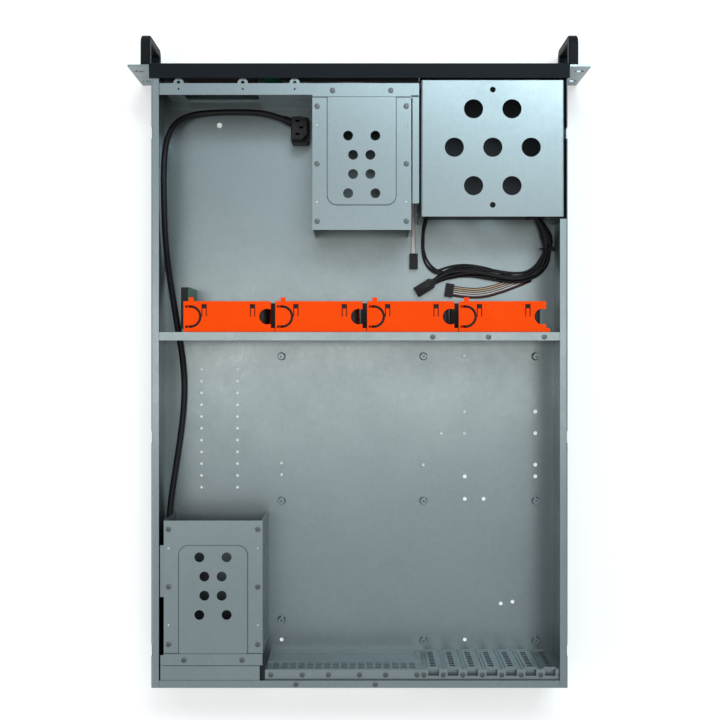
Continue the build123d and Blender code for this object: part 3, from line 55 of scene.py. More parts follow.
stageLook = {
    "cameraHeight": 1.338,      # above the floor, from the photo's perspective
    "cameraY": -0.0163,
    "cameraX": -0.0006,
    "focalPixels": 1203,
    "imagePixels": 720,
    "sensor": 36.0,
    "farthest": 30,
    "floorSize": 7.0,
    "floorHeight": -0.0006,     # just under the tray
    "floorTone": (0.80, 0.81, 0.81, 1),
    "floorLift": 0.36,          # camera sees the floor this much brighter, so it reads as white
    "roomTone": (0.93, 0.97, 1.0, 1),
    "roomStrength": 0.42,       # what lights the matt surfaces
    "backdropTone": (0.96, 0.98, 1.0, 1),   # what the camera and polished surfaces see
}
softboxes = {
    "keySoftbox": {
        "place": (-0.45, -1.12, 2.20), "target": (-0.08, -0.20, 0.0),
        "width": 1.15, "depth": 0.46, "watts": 26.0, "colour": (0.82, 0.95, 1.0),
    },
    "stripSoftbox": {
        "place": (0.12, -0.04, 2.25), "target": (0.12, -0.05, 0.0),
        "width": 1.70, "depth": 0.32, "watts": 6.6, "colour": (1.0, 0.91, 0.82),
    },
    "frontSoftbox": {
        "place": (0.9, -2.2, 1.4), "target": (0.0, -0.1, 0.05),
        "width": 1.4, "depth": 1.0, "watts": 10.0, "colour": (0.96, 0.98, 1.0),
    },
    "sideSoftbox": {
        "place": (2.1, 0.3, 1.5), "target": (0.0, 0.0, 0.05),
        "width": 1.2, "depth": 1.2, "watts": 9.0, "colour": (1.0, 0.99, 0.97),
    },
    "rearSoftbox": {
        "place": (-0.6, 2.3, 1.6), "target": (0.0, 0.0, 0.05),
        "width": 1.4, "depth": 1.0, "watts": 6.0, "colour": (0.96, 0.98, 1.0),
    },
}


def clearSelection():
    if bpy.context.mode != "OBJECT":
        bpy.ops.object.mode_set(mode="OBJECT")
    bpy.ops.object.select_all(action="DESELECT")


def addCamera(look):
    data = bpy.data.cameras.new("photoCamera")
    data.sensor_width = look["sensor"]
    data.lens = look["focalPixels"] * look["sensor"] / look["imagePixels"]
    data.clip_end = look["farthest"]
    camera = bpy.data.objects.new("photoCamera", data)
    scene.collection.objects.link(camera)
    camera.location = (look["cameraX"], look["cameraY"], look["cameraHeight"])
    camera.rotation_euler = (0, 0, math.pi)     # front of the case at the top of the picture
    scene.camera = camera


def mathNode(tree, operation, first, second):
    node = tree.nodes.new("ShaderNodeMath")
    node.operation = operation
    tree.links.new(first, node.inputs[0])
    tree.links.new(second, node.inputs[1])
    return node.outputs[0]


def backdropRays(tree):
    path = tree.nodes.new("ShaderNodeLightPath")
    seen = mathNode(tree, "MAXIMUM", path.outputs["Is Camera Ray"], path.outputs["Is Glossy Ray"])
    return mathNode(tree, "MAXIMUM", seen, path.outputs["Is Transmission Ray"])


def addFloor(look):
    clearSelection()
    bpy.ops.mesh.primitive_plane_add(size=look["floorSize"], location=(0, 0, look["floorHeight"]))
    floor = bpy.context.object
    floor.name = "studioFloor"
    material = bpy.data.materials.new("paleFloor")
    material.use_nodes = True
    tree = material.node_tree
    tree.nodes.clear()
    output = tree.nodes.new("ShaderNodeOutputMaterial")
    diffuse = tree.nodes.new("ShaderNodeBsdfDiffuse")
    diffuse.inputs["Color"].default_value = look["floorTone"]
    glow = tree.nodes.new("ShaderNodeEmission")
    strength = tree.nodes.new("ShaderNodeMath")
    strength.operation = "MULTIPLY"
    strength.inputs[1].default_value = look["floorLift"]
    tree.links.new(backdropRays(tree), strength.inputs[0])
    tree.links.new(strength.outputs[0], glow.inputs["Strength"])
    both = tree.nodes.new("ShaderNodeAddShader")
    tree.links.new(diffuse.outputs[0], both.inputs[0])
    tree.links.new(glow.outputs[0], both.inputs[1])
    tree.links.new(both.outputs[0], output.inputs["Surface"])
    floor.data.materials.append(material)


def addWorld(look):
    world = bpy.data.worlds.new("studioWorld")
    world.use_nodes = True
    scene.world = world
    tree = world.node_tree
    tree.nodes.clear()
    output = tree.nodes.new("ShaderNodeOutputWorld")
    room = tree.nodes.new("ShaderNodeBackground")
    room.inputs["Color"].default_value = look["roomTone"]
    room.inputs["Strength"].default_value = look["roomStrength"]
    backdrop = tree.nodes.new("ShaderNodeBackground")
    backdrop.inputs["Color"].default_value = look["backdropTone"]
    mix = tree.nodes.new("ShaderNodeMixShader")
    tree.links.new(backdropRays(tree), mix.inputs[0])
    tree.links.new(room.outputs[0], mix.inputs[1])
    tree.links.new(backdrop.outputs[0], mix.inputs[2])
    tree.links.new(mix.outputs[0], output.inputs["Surface"])


def addSoftbox(name, look):
    data = bpy.data.lights.new(name, "AREA")
    data.shape = "RECTANGLE"
    data.size = look["width"]
    data.size_y = look["depth"]
    data.energy = look["watts"]
    data.color = look["colour"]
    lamp = bpy.data.objects.new(name, data)
    scene.collection.objects.link(lamp)
    lamp.location = look["place"]
    sight = Vector(look["target"]) - Vector(look["place"])
    lamp.rotation_euler = sight.to_track_quat("-Z", "Y").to_euler()


addCamera(stageLook)
addFloor(stageLook)
addWorld(stageLook)
for lampName, lampLook in softboxes.items():
    addSoftbox(lampName, lampLook)
print("stage: camera, floor and light")


# Finishes

steelGrain = {
    "clouds": (11, 4, 0.6),         # scale, detail and roughness of each noise
    "speckle": (1300, 2, 0.6),
    "rolled": (1.0, 3, 0.6),
    "rolledScale": (900, 60, 900),  # rolling marks along the depth
    "crystals": 210,                # zinc crystals, about 5 mm
    "crystalShare": 0.14,
    "rolledShare": 0.45,
    "fineShare": 0.42,
    "spread": (0.3, 0.7),
    "bumpShare": 0.5,
    "bumpStrength": 0.08,
    "bumpDepth": 0.00012,
}
plasticGrain = {
    "clouds": (30, 3),
    "stippleDetail": 2,
    "spread": (0.3, 0.7),
    "bumpStrength": 0.12,
    "bumpDepth": 0.0002,
}


def startFinish(name):
    material = bpy.data.materials.new(name)
    material.use_nodes = True
    tree = material.node_tree
    return material, tree, tree.nodes["Principled BSDF"]


def objectCoords(tree, scale=(1, 1, 1)):
    coords = tree.nodes.new("ShaderNodeTexCoord")
    mapping = tree.nodes.new("ShaderNodeMapping")
    mapping.inputs["Scale"].default_value = scale
    tree.links.new(coords.outputs["Object"], mapping.inputs["Vector"])
    return mapping.outputs["Vector"]


def noise(tree, vector, scale, detail, roughness=0.5):
    node = tree.nodes.new("ShaderNodeTexNoise")
    node.inputs["Scale"].default_value = scale
    node.inputs["Detail"].default_value = detail
    node.inputs["Roughness"].default_value = roughness
    tree.links.new(vector, node.inputs["Vector"])
    return node.outputs["Fac"]


def spangle(tree, vector, scale):
    node = tree.nodes.new("ShaderNodeTexVoronoi")
    node.inputs["Scale"].default_value = scale
    tree.links.new(vector, node.inputs["Vector"])
    split = tree.nodes.new("ShaderNodeSeparateColor")
    tree.links.new(node.outputs["Color"], split.inputs["Color"])
    return split.outputs["Red"]


def mapped(tree, value, low, high, spread=(0.0, 1.0)):
    node = tree.nodes.new("ShaderNodeMapRange")
    node.inputs["From Min"].default_value = spread[0]
    node.inputs["From Max"].default_value = spread[1]
    node.inputs["To Min"].default_value = low
    node.inputs["To Max"].default_value = high
    tree.links.new(value, node.inputs["Value"])
    return node.outputs["Result"]


def blended(tree, first, second, share):
    node = tree.nodes.new("ShaderNodeMix")
    node.inputs["Factor"].default_value = share
    tree.links.new(first, node.inputs["A"])
    tree.links.new(second, node.inputs["B"])
    return node.outputs["Result"]


def toned(tree, value, dark, light):
    node = tree.nodes.new("ShaderNodeValToRGB")
    node.color_ramp.elements[0].color = (*dark, 1)
    node.color_ramp.elements[1].color = (*light, 1)
    tree.links.new(value, node.inputs["Fac"])
    return node.outputs["Color"]


def bumped(tree, bsdf, value, grain):
    node = tree.nodes.new("ShaderNodeBump")
    node.inputs["Strength"].default_value = grain["bumpStrength"]
    node.inputs["Distance"].default_value = grain["bumpDepth"]
    tree.links.new(value, node.inputs["Height"])
    tree.links.new(node.outputs["Normal"], bsdf.inputs["Normal"])


def sheetSteel(name, dark, light, rough, metal, grain=steelGrain):
    material, tree, bsdf = startFinish(name)
    vector = objectCoords(tree)
    clouds = noise(tree, vector, *grain["clouds"])
    crystals = spangle(tree, vector, grain["crystals"])
    speckle = noise(tree, vector, *grain["speckle"])
    rolled = noise(tree, objectCoords(tree, grain["rolledScale"]), *grain["rolled"])
    coarse = blended(tree, clouds, crystals, grain["crystalShare"])
    fine = blended(tree, speckle, rolled, grain["rolledShare"])
    surface = blended(tree, coarse, fine, grain["fineShare"])
    tone = toned(tree, mapped(tree, surface, 0, 1, grain["spread"]), dark, light)
    tree.links.new(tone, bsdf.inputs["Base Color"])
    smooth, matt = rough
    tree.links.new(mapped(tree, surface, matt, smooth, grain["spread"]), bsdf.inputs["Roughness"])
    bsdf.inputs["Metallic"].default_value = metal
    bumped(tree, bsdf, blended(tree, speckle, rolled, grain["bumpShare"]), grain)
    return material


def mouldedPlastic(name, dark, light, rough, texture=700, gloss=0.25, grain=plasticGrain):
    material, tree, bsdf = startFinish(name)
    vector = objectCoords(tree)
    clouds = noise(tree, vector, *grain["clouds"])
    stipple = noise(tree, vector, texture, grain["stippleDetail"])
    tree.links.new(toned(tree, clouds, dark, light), bsdf.inputs["Base Color"])
    smooth, matt = rough
    tree.links.new(mapped(tree, stipple, smooth, matt, grain["spread"]), bsdf.inputs["Roughness"])
    bsdf.inputs["Specular IOR Level"].default_value = gloss
    bumped(tree, bsdf, stipple, grain)
    return material


finishes = {
    "galvanised_steel": sheetSteel(
        "galvanisedSheet", dark=(0.150, 0.189, 0.201), light=(0.196, 0.238, 0.252),
        rough=(0.26, 0.34), metal=0.82),
    "black_paint": mouldedPlastic(
        "satinBlackPaint", dark=(0.0040, 0.0062, 0.0090), light=(0.0070, 0.0098, 0.0135),
        rough=(0.40, 0.55), texture=1500, gloss=0.07),
    "orange_plastic": mouldedPlastic(
        "orangePlastic", dark=(0.93, 0.062, 0.0004), light=(1.0, 0.076, 0.0006),
        rough=(0.40, 0.52), gloss=0.05),
    "black_plastic": mouldedPlastic(
        "blackPlastic", dark=(0.007, 0.007, 0.008), light=(0.013, 0.013, 0.015),
        rough=(0.42, 0.60), gloss=0.18),
    "green_board": mouldedPlastic(
        "greenBoard", dark=(0.004, 0.085, 0.040), light=(0.012, 0.130, 0.065),
        rough=(0.34, 0.44), texture=400, gloss=0.3),
    "zinc_screws": sheetSteel(
        "zincScrews", dark=(0.062, 0.073, 0.078), light=(0.100, 0.113, 0.118),
        rough=(0.32, 0.46), metal=0.80),
    "bright_pin": sheetSteel(
        "brightPin", dark=(0.36, 0.40, 0.42), light=(0.46, 0.50, 0.52),
        rough=(0.36, 0.48), metal=0.60),
    "foam_filter": mouldedPlastic(
        "foamFilter", dark=(0.030, 0.026, 0.024), light=(0.048, 0.041, 0.037),
        rough=(0.80, 0.95), texture=1200, gloss=0.02),
    "black_cable": mouldedPlastic(
        "blackSheath", dark=(0.006, 0.006, 0.007), light=(0.011, 0.011, 0.013),
        rough=(0.42, 0.60), texture=900),
    "grey_lead": mouldedPlastic(
        "greySheath", dark=(0.80, 0.81, 0.82), light=(0.92, 0.93, 0.94),
        rough=(0.45, 0.60), texture=900),
    "ribbon_wires": mouldedPlastic(
        "ribbonGround", dark=(0.30, 0.22, 0.17), light=(0.40, 0.30, 0.24),
        rough=(0.45, 0.60), texture=900),
    "clear_lens": mouldedPlastic(
        "clearLens", dark=(0.55, 0.60, 0.63), light=(0.66, 0.70, 0.73),
        rough=(0.10, 0.18), gloss=0.5),
}
wireLook = {
    "shade": 0.85,              # the dark patches, as a share of the tone
    "rough": (0.42, 0.58),
    "texture": 900,
    "tones": {
        "maroonWire": (0.085, 0.016, 0.018),
        "creamWire": (0.88, 0.68, 0.48),
        "whiteWire": (0.92, 0.90, 0.87),
        "mauveWire": (0.25, 0.17, 0.20),
        "inkWire": (0.014, 0.013, 0.014),
    },
}
for wireName, wireTone in wireLook["tones"].items():
    wireShade = tuple(wireLook["shade"] * channel for channel in wireTone)
    finishes[wireName] = mouldedPlastic(
        wireName, wireShade, wireTone, wireLook["rough"], wireLook["texture"])


def dress(piece, finish):
    piece.data.materials.clear()
    piece.data.materials.append(finish)


slotOf = {part["node"]: part["material_slot"] for part in frame["record"]["subparts"]}
for nodeName, node in nodes.items():
    dress(node, finishes[slotOf[nodeName]])


# Painted shade on the tray's floor under the bay: a dark, matt, non-metal patch, seen only through the
# cover's holes, standing in for the shadow there

bayShadeLook = {
    "low": (-0.2125, -0.3060, 0.0008),
    "high": (-0.0655, -0.1720, 0.0016),
    "tone": (0.050, 0.060, 0.070, 1),
    "rough": 0.75,
    "metal": 0.0,
}
mixSockets = {"RGBA": (6, 7, 2), "FLOAT": (2, 3, 0)}    # first, second and result of a mix node


def inBox(tree, low, high):
    split = tree.nodes.new("ShaderNodeSeparateXYZ")
    tree.links.new(objectCoords(tree), split.inputs["Vector"])
    sides = []
    for axis, start, end in zip("XYZ", low, high):
        inside = tree.nodes.new("ShaderNodeMath")
        inside.operation = "COMPARE"
        tree.links.new(split.outputs[axis], inside.inputs[0])
        inside.inputs[1].default_value = (start + end) / 2
        inside.inputs[2].default_value = (end - start) / 2
        sides.append(inside.outputs[0])
    flat = mathNode(tree, "MULTIPLY", sides[0], sides[1])
    return mathNode(tree, "MULTIPLY", flat, sides[2])


def coverUp(tree, kind, mask, goal, covered):
    first, second, result = mixSockets[kind]
    mix = tree.nodes.new("ShaderNodeMix")
    mix.data_type = kind
    tree.links.new(mask, mix.inputs[0])
    tree.links.new(goal.links[0].from_socket, mix.inputs[first])
    mix.inputs[second].default_value = covered
    tree.links.new(mix.outputs[result], goal)


# paints shade into the tray's finish inside the box: colour, roughness and metal change there
def paintBayShade(material, look):
    tree = material.node_tree
    bsdf = tree.nodes["Principled BSDF"]
    mask = inBox(tree, look["low"], look["high"])
    coverUp(tree, "RGBA", mask, bsdf.inputs["Base Color"], look["tone"])
    coverUp(tree, "FLOAT", mask, bsdf.inputs["Roughness"], look["rough"])
    metal = bsdf.inputs["Metallic"]
    tree.links.new(mapped(tree, mask, metal.default_value, look["metal"]), metal)


# the tray gets its own copy of the steel, with the painted shade under the bay
trayFinish = finishes["galvanised_steel"].copy()
paintBayShade(trayFinish, bayShadeLook)
dress(nodes["base_tray"], trayFinish)
print("stage: finishes on the frame")


# Modelling helpers: everything is shaped at the origin or in place, and the place goes into the mesh

helperLook = {
    "weld": 0.00001,            # corners closer than this become one
    "squareOn": 0.9,            # how squarely a face looks along an axis to be picked
    "bevelSteps": 2,
    "smoothAngle": 35,
}


def makeActive(piece):
    clearSelection()
    piece.select_set(True)
    bpy.context.view_layer.objects.active = piece


def addCube(name, size, middle):
    clearSelection()
    bpy.ops.mesh.primitive_cube_add(size=1, location=middle)
    cube = bpy.context.object
    cube.name = name
    cube.scale = size
    bpy.ops.object.transform_apply(location=True, rotation=True, scale=True)
    return cube


def addBlock(name, low, high):
    low, high = Vector(low), Vector(high)
    return addCube(name, high - low, (low + high) / 2)


def addCylinder(name, radius, depth, middle, sides):
    clearSelection()
    bpy.ops.mesh.primitive_cylinder_add(vertices=sides, radius=radius, depth=depth, location=middle)
    cylinder = bpy.context.object
    cylinder.name = name
    bpy.ops.object.transform_apply(location=True, rotation=True, scale=True)
    return cylinder


def cutAway(piece, cutter):
    makeActive(piece)
    cut = piece.modifiers.new("cut", "BOOLEAN")
    cut.operation = "DIFFERENCE"
    cut.solver = "EXACT"
    cut.object = cutter
    bpy.ops.object.modifier_apply(modifier=cut.name)
    bpy.data.meshes.remove(cutter.data)


def pickFaces(piece, axis, way, leastArea=0):
    makeActive(piece)
    bpy.ops.object.mode_set(mode="EDIT")
    bpy.ops.mesh.select_mode(type="FACE")
    bpy.ops.mesh.select_all(action="DESELECT")
    bpy.ops.object.mode_set(mode="OBJECT")
    for face in piece.data.polygons:
        along = way * face.normal["XYZ".index(axis)]
        face.select = along > helperLook["squareOn"] and face.area > leastArea
    bpy.ops.object.mode_set(mode="EDIT")


def pullOut(x, y, z):
    bpy.ops.mesh.extrude_region_move(TRANSFORM_OT_translate={"value": (x, y, z)})
    bpy.ops.object.mode_set(mode="OBJECT")


def smoothed(piece, angle=helperLook["smoothAngle"]):
    makeActive(piece)
    bpy.ops.object.shade_smooth_by_angle(angle=math.radians(angle))


def softEdges(piece, width):
    makeActive(piece)
    bevel = piece.modifiers.new("softEdges", "BEVEL")
    bevel.width = width
    bevel.segments = helperLook["bevelSteps"]
    bevel.limit_method = "ANGLE"
    bevel.angle_limit = math.radians(helperLook["smoothAngle"])
    bpy.ops.object.modifier_apply(modifier=bevel.name)
    smoothed(piece)


def placed(piece, turn, move):
    piece.data.transform(Matrix.Translation(move) @ Matrix.Rotation(turn, 4, "Z"))
    piece.data.update()


def copyOf(piece, name):
    twin = bpy.data.objects.new(name, piece.data.copy())
    scene.collection.objects.link(twin)
    return twin


def remade(nodeName, name):
    piece = copyOf(nodes[nodeName], name)
    makeActive(piece)
    bpy.ops.object.mode_set(mode="EDIT")
    bpy.ops.mesh.select_all(action="SELECT")
    bpy.ops.mesh.remove_doubles(threshold=helperLook["weld"])
    bpy.ops.object.mode_set(mode="OBJECT")
    return piece


def joined(pieces, name):
    clearSelection()
    for piece in pieces:
        piece.select_set(True)
    bpy.context.view_layer.objects.active = pieces[0]
    bpy.ops.object.join()
    pieces[0].name = name
    return pieces[0]


# Cords, with the part's own route points in metres

cordShape = {
    "order": 3,
    "smoothSteps": 10,
    "rimSteps": 5,
    "wireRimSteps": 3,
    "endSpread": 6,             # how fast the strands of a bundle spread from its ends
    "endShare": 0.35,           # how far apart they are at the ends
    "tieSqueeze": 0.45,
    "tieReach": 0.05,           # share of the length that the tie gathers
}


def startCurve(name, kind, points, radius, rimSteps):
    data = bpy.data.curves.new(name, "CURVE")
    data.dimensions = "3D"
    spline = data.splines.new(kind)
    spline.points.add(len(points) - 1)
    for knot, place in zip(spline.points, points):
        knot.co = (*place, 1)
    data.bevel_depth = radius
    data.bevel_resolution = rimSteps
    data.use_fill_caps = True
    curve = bpy.data.objects.new(name, data)
    scene.collection.objects.link(curve)
    return curve


def routeCurve(name, points, radius):
    route = startCurve(name, "NURBS", points, radius, cordShape["rimSteps"])
    route.data.resolution_u = cordShape["smoothSteps"]
    spline = route.data.splines[0]
    spline.order_u = cordShape["order"]
    spline.use_endpoint_u = True
    return route


def routeLine(points):
    bare = routeCurve("bareRoute", points, 0)
    mesh = bpy.data.meshes.new_from_object(bare)
    line = [vertex.co.copy() for vertex in mesh.vertices]
    bpy.data.meshes.remove(mesh)
    bpy.data.curves.remove(bare.data)
    return line


def acrossLine(line):
    sides = []
    for index in range(len(line)):
        ahead = line[min(index + 1, len(line) - 1)] - line[max(index - 1, 0)]
        sides.append(Vector((0, 0, 1)).cross(ahead).normalized())
    return sides


def wireMesh(name, points, radius, finish):
    wire = startCurve(name, "POLY", points, radius, cordShape["wireRimSteps"])
    makeActive(wire)
    bpy.ops.object.convert(target="MESH")
    bpy.ops.object.shade_smooth()
    wire = bpy.context.object
    dress(wire, finish)
    return wire


def strandSet(look, line):
    wires = []
    sides = acrossLine(line)
    for index, (radius, side, up, swing, swings, start) in enumerate(look["strands"]):
        places = []
        for step, (middle, across) in enumerate(zip(line, sides)):
            along = step / (len(line) - 1)
            ends = min(1, cordShape["endSpread"] * min(along, 1 - along) + cordShape["endShare"])
            fromTie = (along - look["tieAlong"]) / cordShape["tieReach"]
            gather = ends * (1 - cordShape["tieSqueeze"] * math.exp(-fromTie ** 2))
            sway = swing * math.sin(2 * math.pi * (swings * along + start))
            places.append(middle + across * gather * (side + sway) + Vector((0, 0, gather * up)))
        wires.append(wireMesh(f"strand{index + 1}", places, radius, finishes["black_cable"]))
    return wires


tieLook = {
    "place": (-0.2081, -0.1390, 0.0078),
    "inner": 0.0053,
    "outer": 0.0062,
    "wide": 0.0030,
    "boreLong": 0.01,
    "sides": 40,
    "head": (0.0046, 0.0044, 0.0034),
    "headAt": (-0.0036, 0, 0.0056),
    "headSoft": 0.0005,
    "tail": (0.0120, 0.0026, 0.0009),
    "tailAt": (0.0042, 0, 0.0064),
    "tailSoft": 0.0002,
    "tip": 0.5,                 # width of the tip, as a share of the tail's
}


def makeTie(look):
    band = addCylinder("tieBand", look["outer"], look["wide"], (0, 0, 0), look["sides"])
    cutAway(band, addCylinder("tieBore", look["inner"], look["boreLong"], (0, 0, 0), look["sides"]))
    band.data.transform(Matrix.Rotation(math.radians(90), 4, "X"))
    head = addCube("tieHead", look["head"], look["headAt"])
    softEdges(head, look["headSoft"])
    tail = addCube("tieTail", look["tail"], look["tailAt"])
    pickFaces(tail, "X", 1)
    bpy.ops.transform.resize(value=(1, look["tip"], 1))
    bpy.ops.object.mode_set(mode="OBJECT")
    softEdges(tail, look["tailSoft"])
    tie = joined([band, head, tail], "cableTieRound")
    placed(tie, 0, Vector(look["place"]))
    dress(tie, finishes["black_plastic"])
    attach(tie, "chassis")
    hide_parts("cable_tie")
    return tie


harnessPlugLook = {
    "long": 0.020, "wide": 0.0118, "high": 0.0115,
    "wall": 0.0011, "socket": 0.006, "collar": 0.0022, "rib": 0.0006, "soft": 0.0004,
    "turn": math.radians(32), "place": (-0.0800, -0.1015, 0.0078),
}
branchPlugLook = {
    "long": 0.012, "wide": 0.0080, "high": 0.0080,
    "wall": 0.0009, "socket": 0.004, "collar": 0.0015, "rib": 0.0004, "soft": 0.0003,
    "turn": math.radians(-107), "place": (-0.0765, -0.1820, 0.0064),
}
plugShape = {
    "collarInset": 1.6,         # of the wall
    "ribInset": 0.24,           # of the width
    "topShare": 0.6,            # least share of the top that a face has to be the top
}


def plugBlock(name, look):
    plug = addCube(name, (look["long"], look["wide"], look["high"]), (look["long"] / 2, 0, 0))
    pickFaces(plug, "X", 1)     # open mating end
    bpy.ops.mesh.inset(thickness=look["wall"], depth=0)
    pullOut(-look["socket"], 0, 0)
    pickFaces(plug, "X", -1)    # collar round the cable
    bpy.ops.mesh.inset(thickness=look["wall"] * plugShape["collarInset"], depth=0)
    pullOut(-look["collar"], 0, 0)
    pickFaces(plug, "Z", 1, plugShape["topShare"] * look["long"] * look["wide"])    # latch rib on top
    bpy.ops.mesh.inset(thickness=look["wide"] * plugShape["ribInset"], depth=0)
    pullOut(0, 0, look["rib"])
    softEdges(plug, look["soft"])
    placed(plug, look["turn"], Vector(look["place"]))
    dress(plug, finishes["black_plastic"])
    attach(plug, "chassis")
    return plug


mainsLook = {
    "diameter": 0.0065,
    "length": 0.714,
    "points": [     # from the plug, along the left wall, to the rear inlet
        (0.08316, -0.28179, 0.0102), (0.09443, -0.28589, 0.0102), (0.107, -0.289, 0.009),
        (0.121, -0.2906, 0.0068), (0.140, -0.291, 0.0052), (0.162, -0.2905, 0.0054),
        (0.184, -0.2876, 0.010), (0.200, -0.2782, 0.019), (0.2085, -0.262, 0.028),
        (0.2113, -0.240, 0.035), (0.2116, -0.215, 0.0385), (0.2112, -0.188, 0.038),
        (0.2115, -0.161, 0.032), (0.2112, -0.136, 0.022), (0.210, -0.112, 0.012),
        (0.2072, -0.089, 0.0063), (0.2038, -0.066, 0.00475), (0.200, -0.043, 0.00475),
        (0.1962, -0.019, 0.00475), (0.194, 0.006, 0.00475), (0.1944, 0.032, 0.00475),
        (0.197, 0.058, 0.00475), (0.2006, 0.084, 0.00475), (0.2046, 0.110, 0.00475),
        (0.2086, 0.136, 0.0052), (0.2108, 0.163, 0.0075), (0.2112, 0.190, 0.011),
        (0.2108, 0.217, 0.0155), (0.2101, 0.241, 0.020), (0.2098, 0.262, 0.0232),
        (0.2098, 0.2805, 0.024), (0.2098, 0.299, 0.024),
    ],
}


def layMainsCord(look):
    cord = routeCurve("mainsCord", look["points"], look["diameter"] / 2)
    dress(cord, finishes["black_cable"])
    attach(cord, "chassis")
    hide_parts("mains_cord")


leadLook = {
    "diameter": 0.005,
    "length": 0.332,
    "points": [     # from the control board, behind the bezel, to the connector on the floor
        (0.0817, -0.3122, 0.046), (0.064, -0.3122, 0.046), (0.043, -0.3092, 0.054),
        (0.015, -0.308, 0.065), (-0.012, -0.3082, 0.062), (-0.034, -0.3086, 0.051),
        (-0.047, -0.309, 0.038), (-0.0555, -0.3035, 0.024), (-0.0583, -0.291, 0.012),
        (-0.0586, -0.274, 0.0055), (-0.0588, -0.257, 0.004), (-0.0582, -0.240, 0.004),
        (-0.0588, -0.214, 0.004), (-0.0584, -0.190, 0.004), (-0.0593, -0.168, 0.004),
        (-0.060, -0.150, 0.0046), (-0.060, -0.134, 0.005),
    ],
}


def layPanelLead(look):
    lead = routeCurve("panelLead", look["points"], look["diameter"] / 2)
    dress(lead, finishes["grey_lead"])
    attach(lead, "chassis")
    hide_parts("panel_lead")


harnessLook = {
    "diameter": 0.009,
    "length": 0.190,
    "tieAlong": 0.215,          # share of the length at which the tie gathers the strands
    "points": [     # from the bay connector, round the tie, to the connector by the fans
        (-0.194, -0.177, 0.0078), (-0.2025, -0.163, 0.0082), (-0.2089, -0.147, 0.0078),
        (-0.2073, -0.131, 0.0076), (-0.1995, -0.1165, 0.0070), (-0.1855, -0.1082, 0.0068),
        (-0.168, -0.107, 0.0066), (-0.148, -0.110, 0.0060), (-0.127, -0.1135, 0.0058),
        (-0.108, -0.1135, 0.0060), (-0.092, -0.109, 0.0070), (-0.080, -0.1015, 0.0078),
    ],
    "strands": [    # radius, to the side, up, swing, swings along the length, where the swing starts
        (0.0017, 0.0024, -0.0006, 0.0012, 1.0, 0.10),
        (0.0017, -0.0022, -0.0008, 0.0014, 1.5, 0.35),
        (0.0016, 0.0002, 0.0018, 0.0016, 1.2, 0.60),
        (0.0013, 0.0036, -0.0016, 0.0012, 0.8, 0.80),
        (0.0012, -0.0040, -0.0014, 0.0013, 0.5, 0.62),
        (0.0010, -0.0012, 0.0030, 0.0020, 1.7, 0.20),
        (0.0011, 0.0052, -0.0018, 0.0010, 0.7, 0.30),
        (0.0010, -0.0052, -0.0016, 0.0010, 0.9, 0.10),
        (0.0012, 0.0014, 0.0026, 0.0018, 1.4, 0.90),
    ],
}


def layHarness(look):
    line = routeLine(look["points"])
    bundle = joined(strandSet(look, line), "harnessStrands")
    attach(bundle, "chassis")
    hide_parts("harness_bundle")


branchLook = {
    "diameter": 0.0050,
    "length": 0.0925,
    "tieAlong": 2.0,            # no tie on it
    "points": [     # leaves the thick bundle and goes to its plug under the bay cover
        (-0.1040, -0.1128, 0.0060), (-0.0890, -0.1128, 0.0056), (-0.0795, -0.1172, 0.0050),
        (-0.0730, -0.1262, 0.0048), (-0.0702, -0.1380, 0.0048), (-0.0700, -0.1520, 0.0052),
        (-0.0722, -0.1680, 0.0062), (-0.0765, -0.1820, 0.0064),
    ],
    "strands": [    # as in the thick bundle
        (0.0012, 0.0012, -0.0006, 0.0007, 0.9, 0.10),
        (0.0012, -0.0012, -0.0008, 0.0008, 1.2, 0.40),
        (0.0010, 0.0002, 0.0012, 0.0012, 1.5, 0.70),
    ],
}


def layBranch(look):
    line = routeLine(look["points"])
    branch = joined(strandSet(look, line), "branchStrands")
    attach(branch, "chassis")


loopLook = {
    "diameter": 0.0024,
    "length": 0.0945,
    "points": [     # leaves the thick bundle, bows out over the floor and joins the branch
        (-0.1760, -0.1076, 0.0066), (-0.1630, -0.1105, 0.0045), (-0.1480, -0.1165, 0.0032),
        (-0.1320, -0.1205, 0.0030), (-0.1160, -0.1222, 0.0030), (-0.1015, -0.1205, 0.0030),
        (-0.0905, -0.1168, 0.0038), (-0.0842, -0.1148, 0.0048),
    ],
}


def layLoop(look):
    loop = routeCurve("loopWire", look["points"], look["diameter"] / 2)
    dress(loop, finishes["black_cable"])
    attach(loop, "chassis")


ribbonLook = {
    "width": 0.012,
    "length": 0.088,
    "wireRadius": 0.00062,
    "points": [     # under the bundle, along the fans, to its own plug
        (-0.189, -0.1086, 0.0022), (-0.172, -0.1015, 0.0022), (-0.154, -0.095, 0.0022),
        (-0.137, -0.0905, 0.0022), (-0.119, -0.0902, 0.0022), (-0.104, -0.0928, 0.0022),
    ],
    "wires": [
        "maroonWire", "creamWire", "inkWire", "creamWire", "inkWire", "whiteWire",
        "inkWire", "whiteWire", "mauveWire", "inkWire", "maroonWire",
    ],
}


def layRibbon(look):
    line = routeLine(look["points"])
    sides = acrossLine(line)
    count = len(look["wires"])
    pitch = look["width"] / count
    wires = []
    for index, tone in enumerate(look["wires"]):
        shift = (index - (count - 1) / 2) * pitch
        places = [middle + across * shift for middle, across in zip(line, sides)]
        wires.append(wireMesh(f"ribbonWire{index + 1}", places, look["wireRadius"], finishes[tone]))
    ribbon = joined(wires, "ribbonWires")
    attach(ribbon, "chassis")
    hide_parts("harness_ribbon")


cableTie = makeTie(tieLook)
harnessPlug = plugBlock("harnessPlug", harnessPlugLook)
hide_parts("harness_connector")
branchPlug = plugBlock("branchPlug", branchPlugLook)
layMainsCord(mainsLook)
layPanelLead(leadLook)
layHarness(harnessLook)
layBranch(branchLook)
layLoop(loopLook)
layRibbon(ribbonLook)
print("stage: cords")


# Fan carriers, cut from the part's own: deeper finger hole, wider pull slit and latch windows

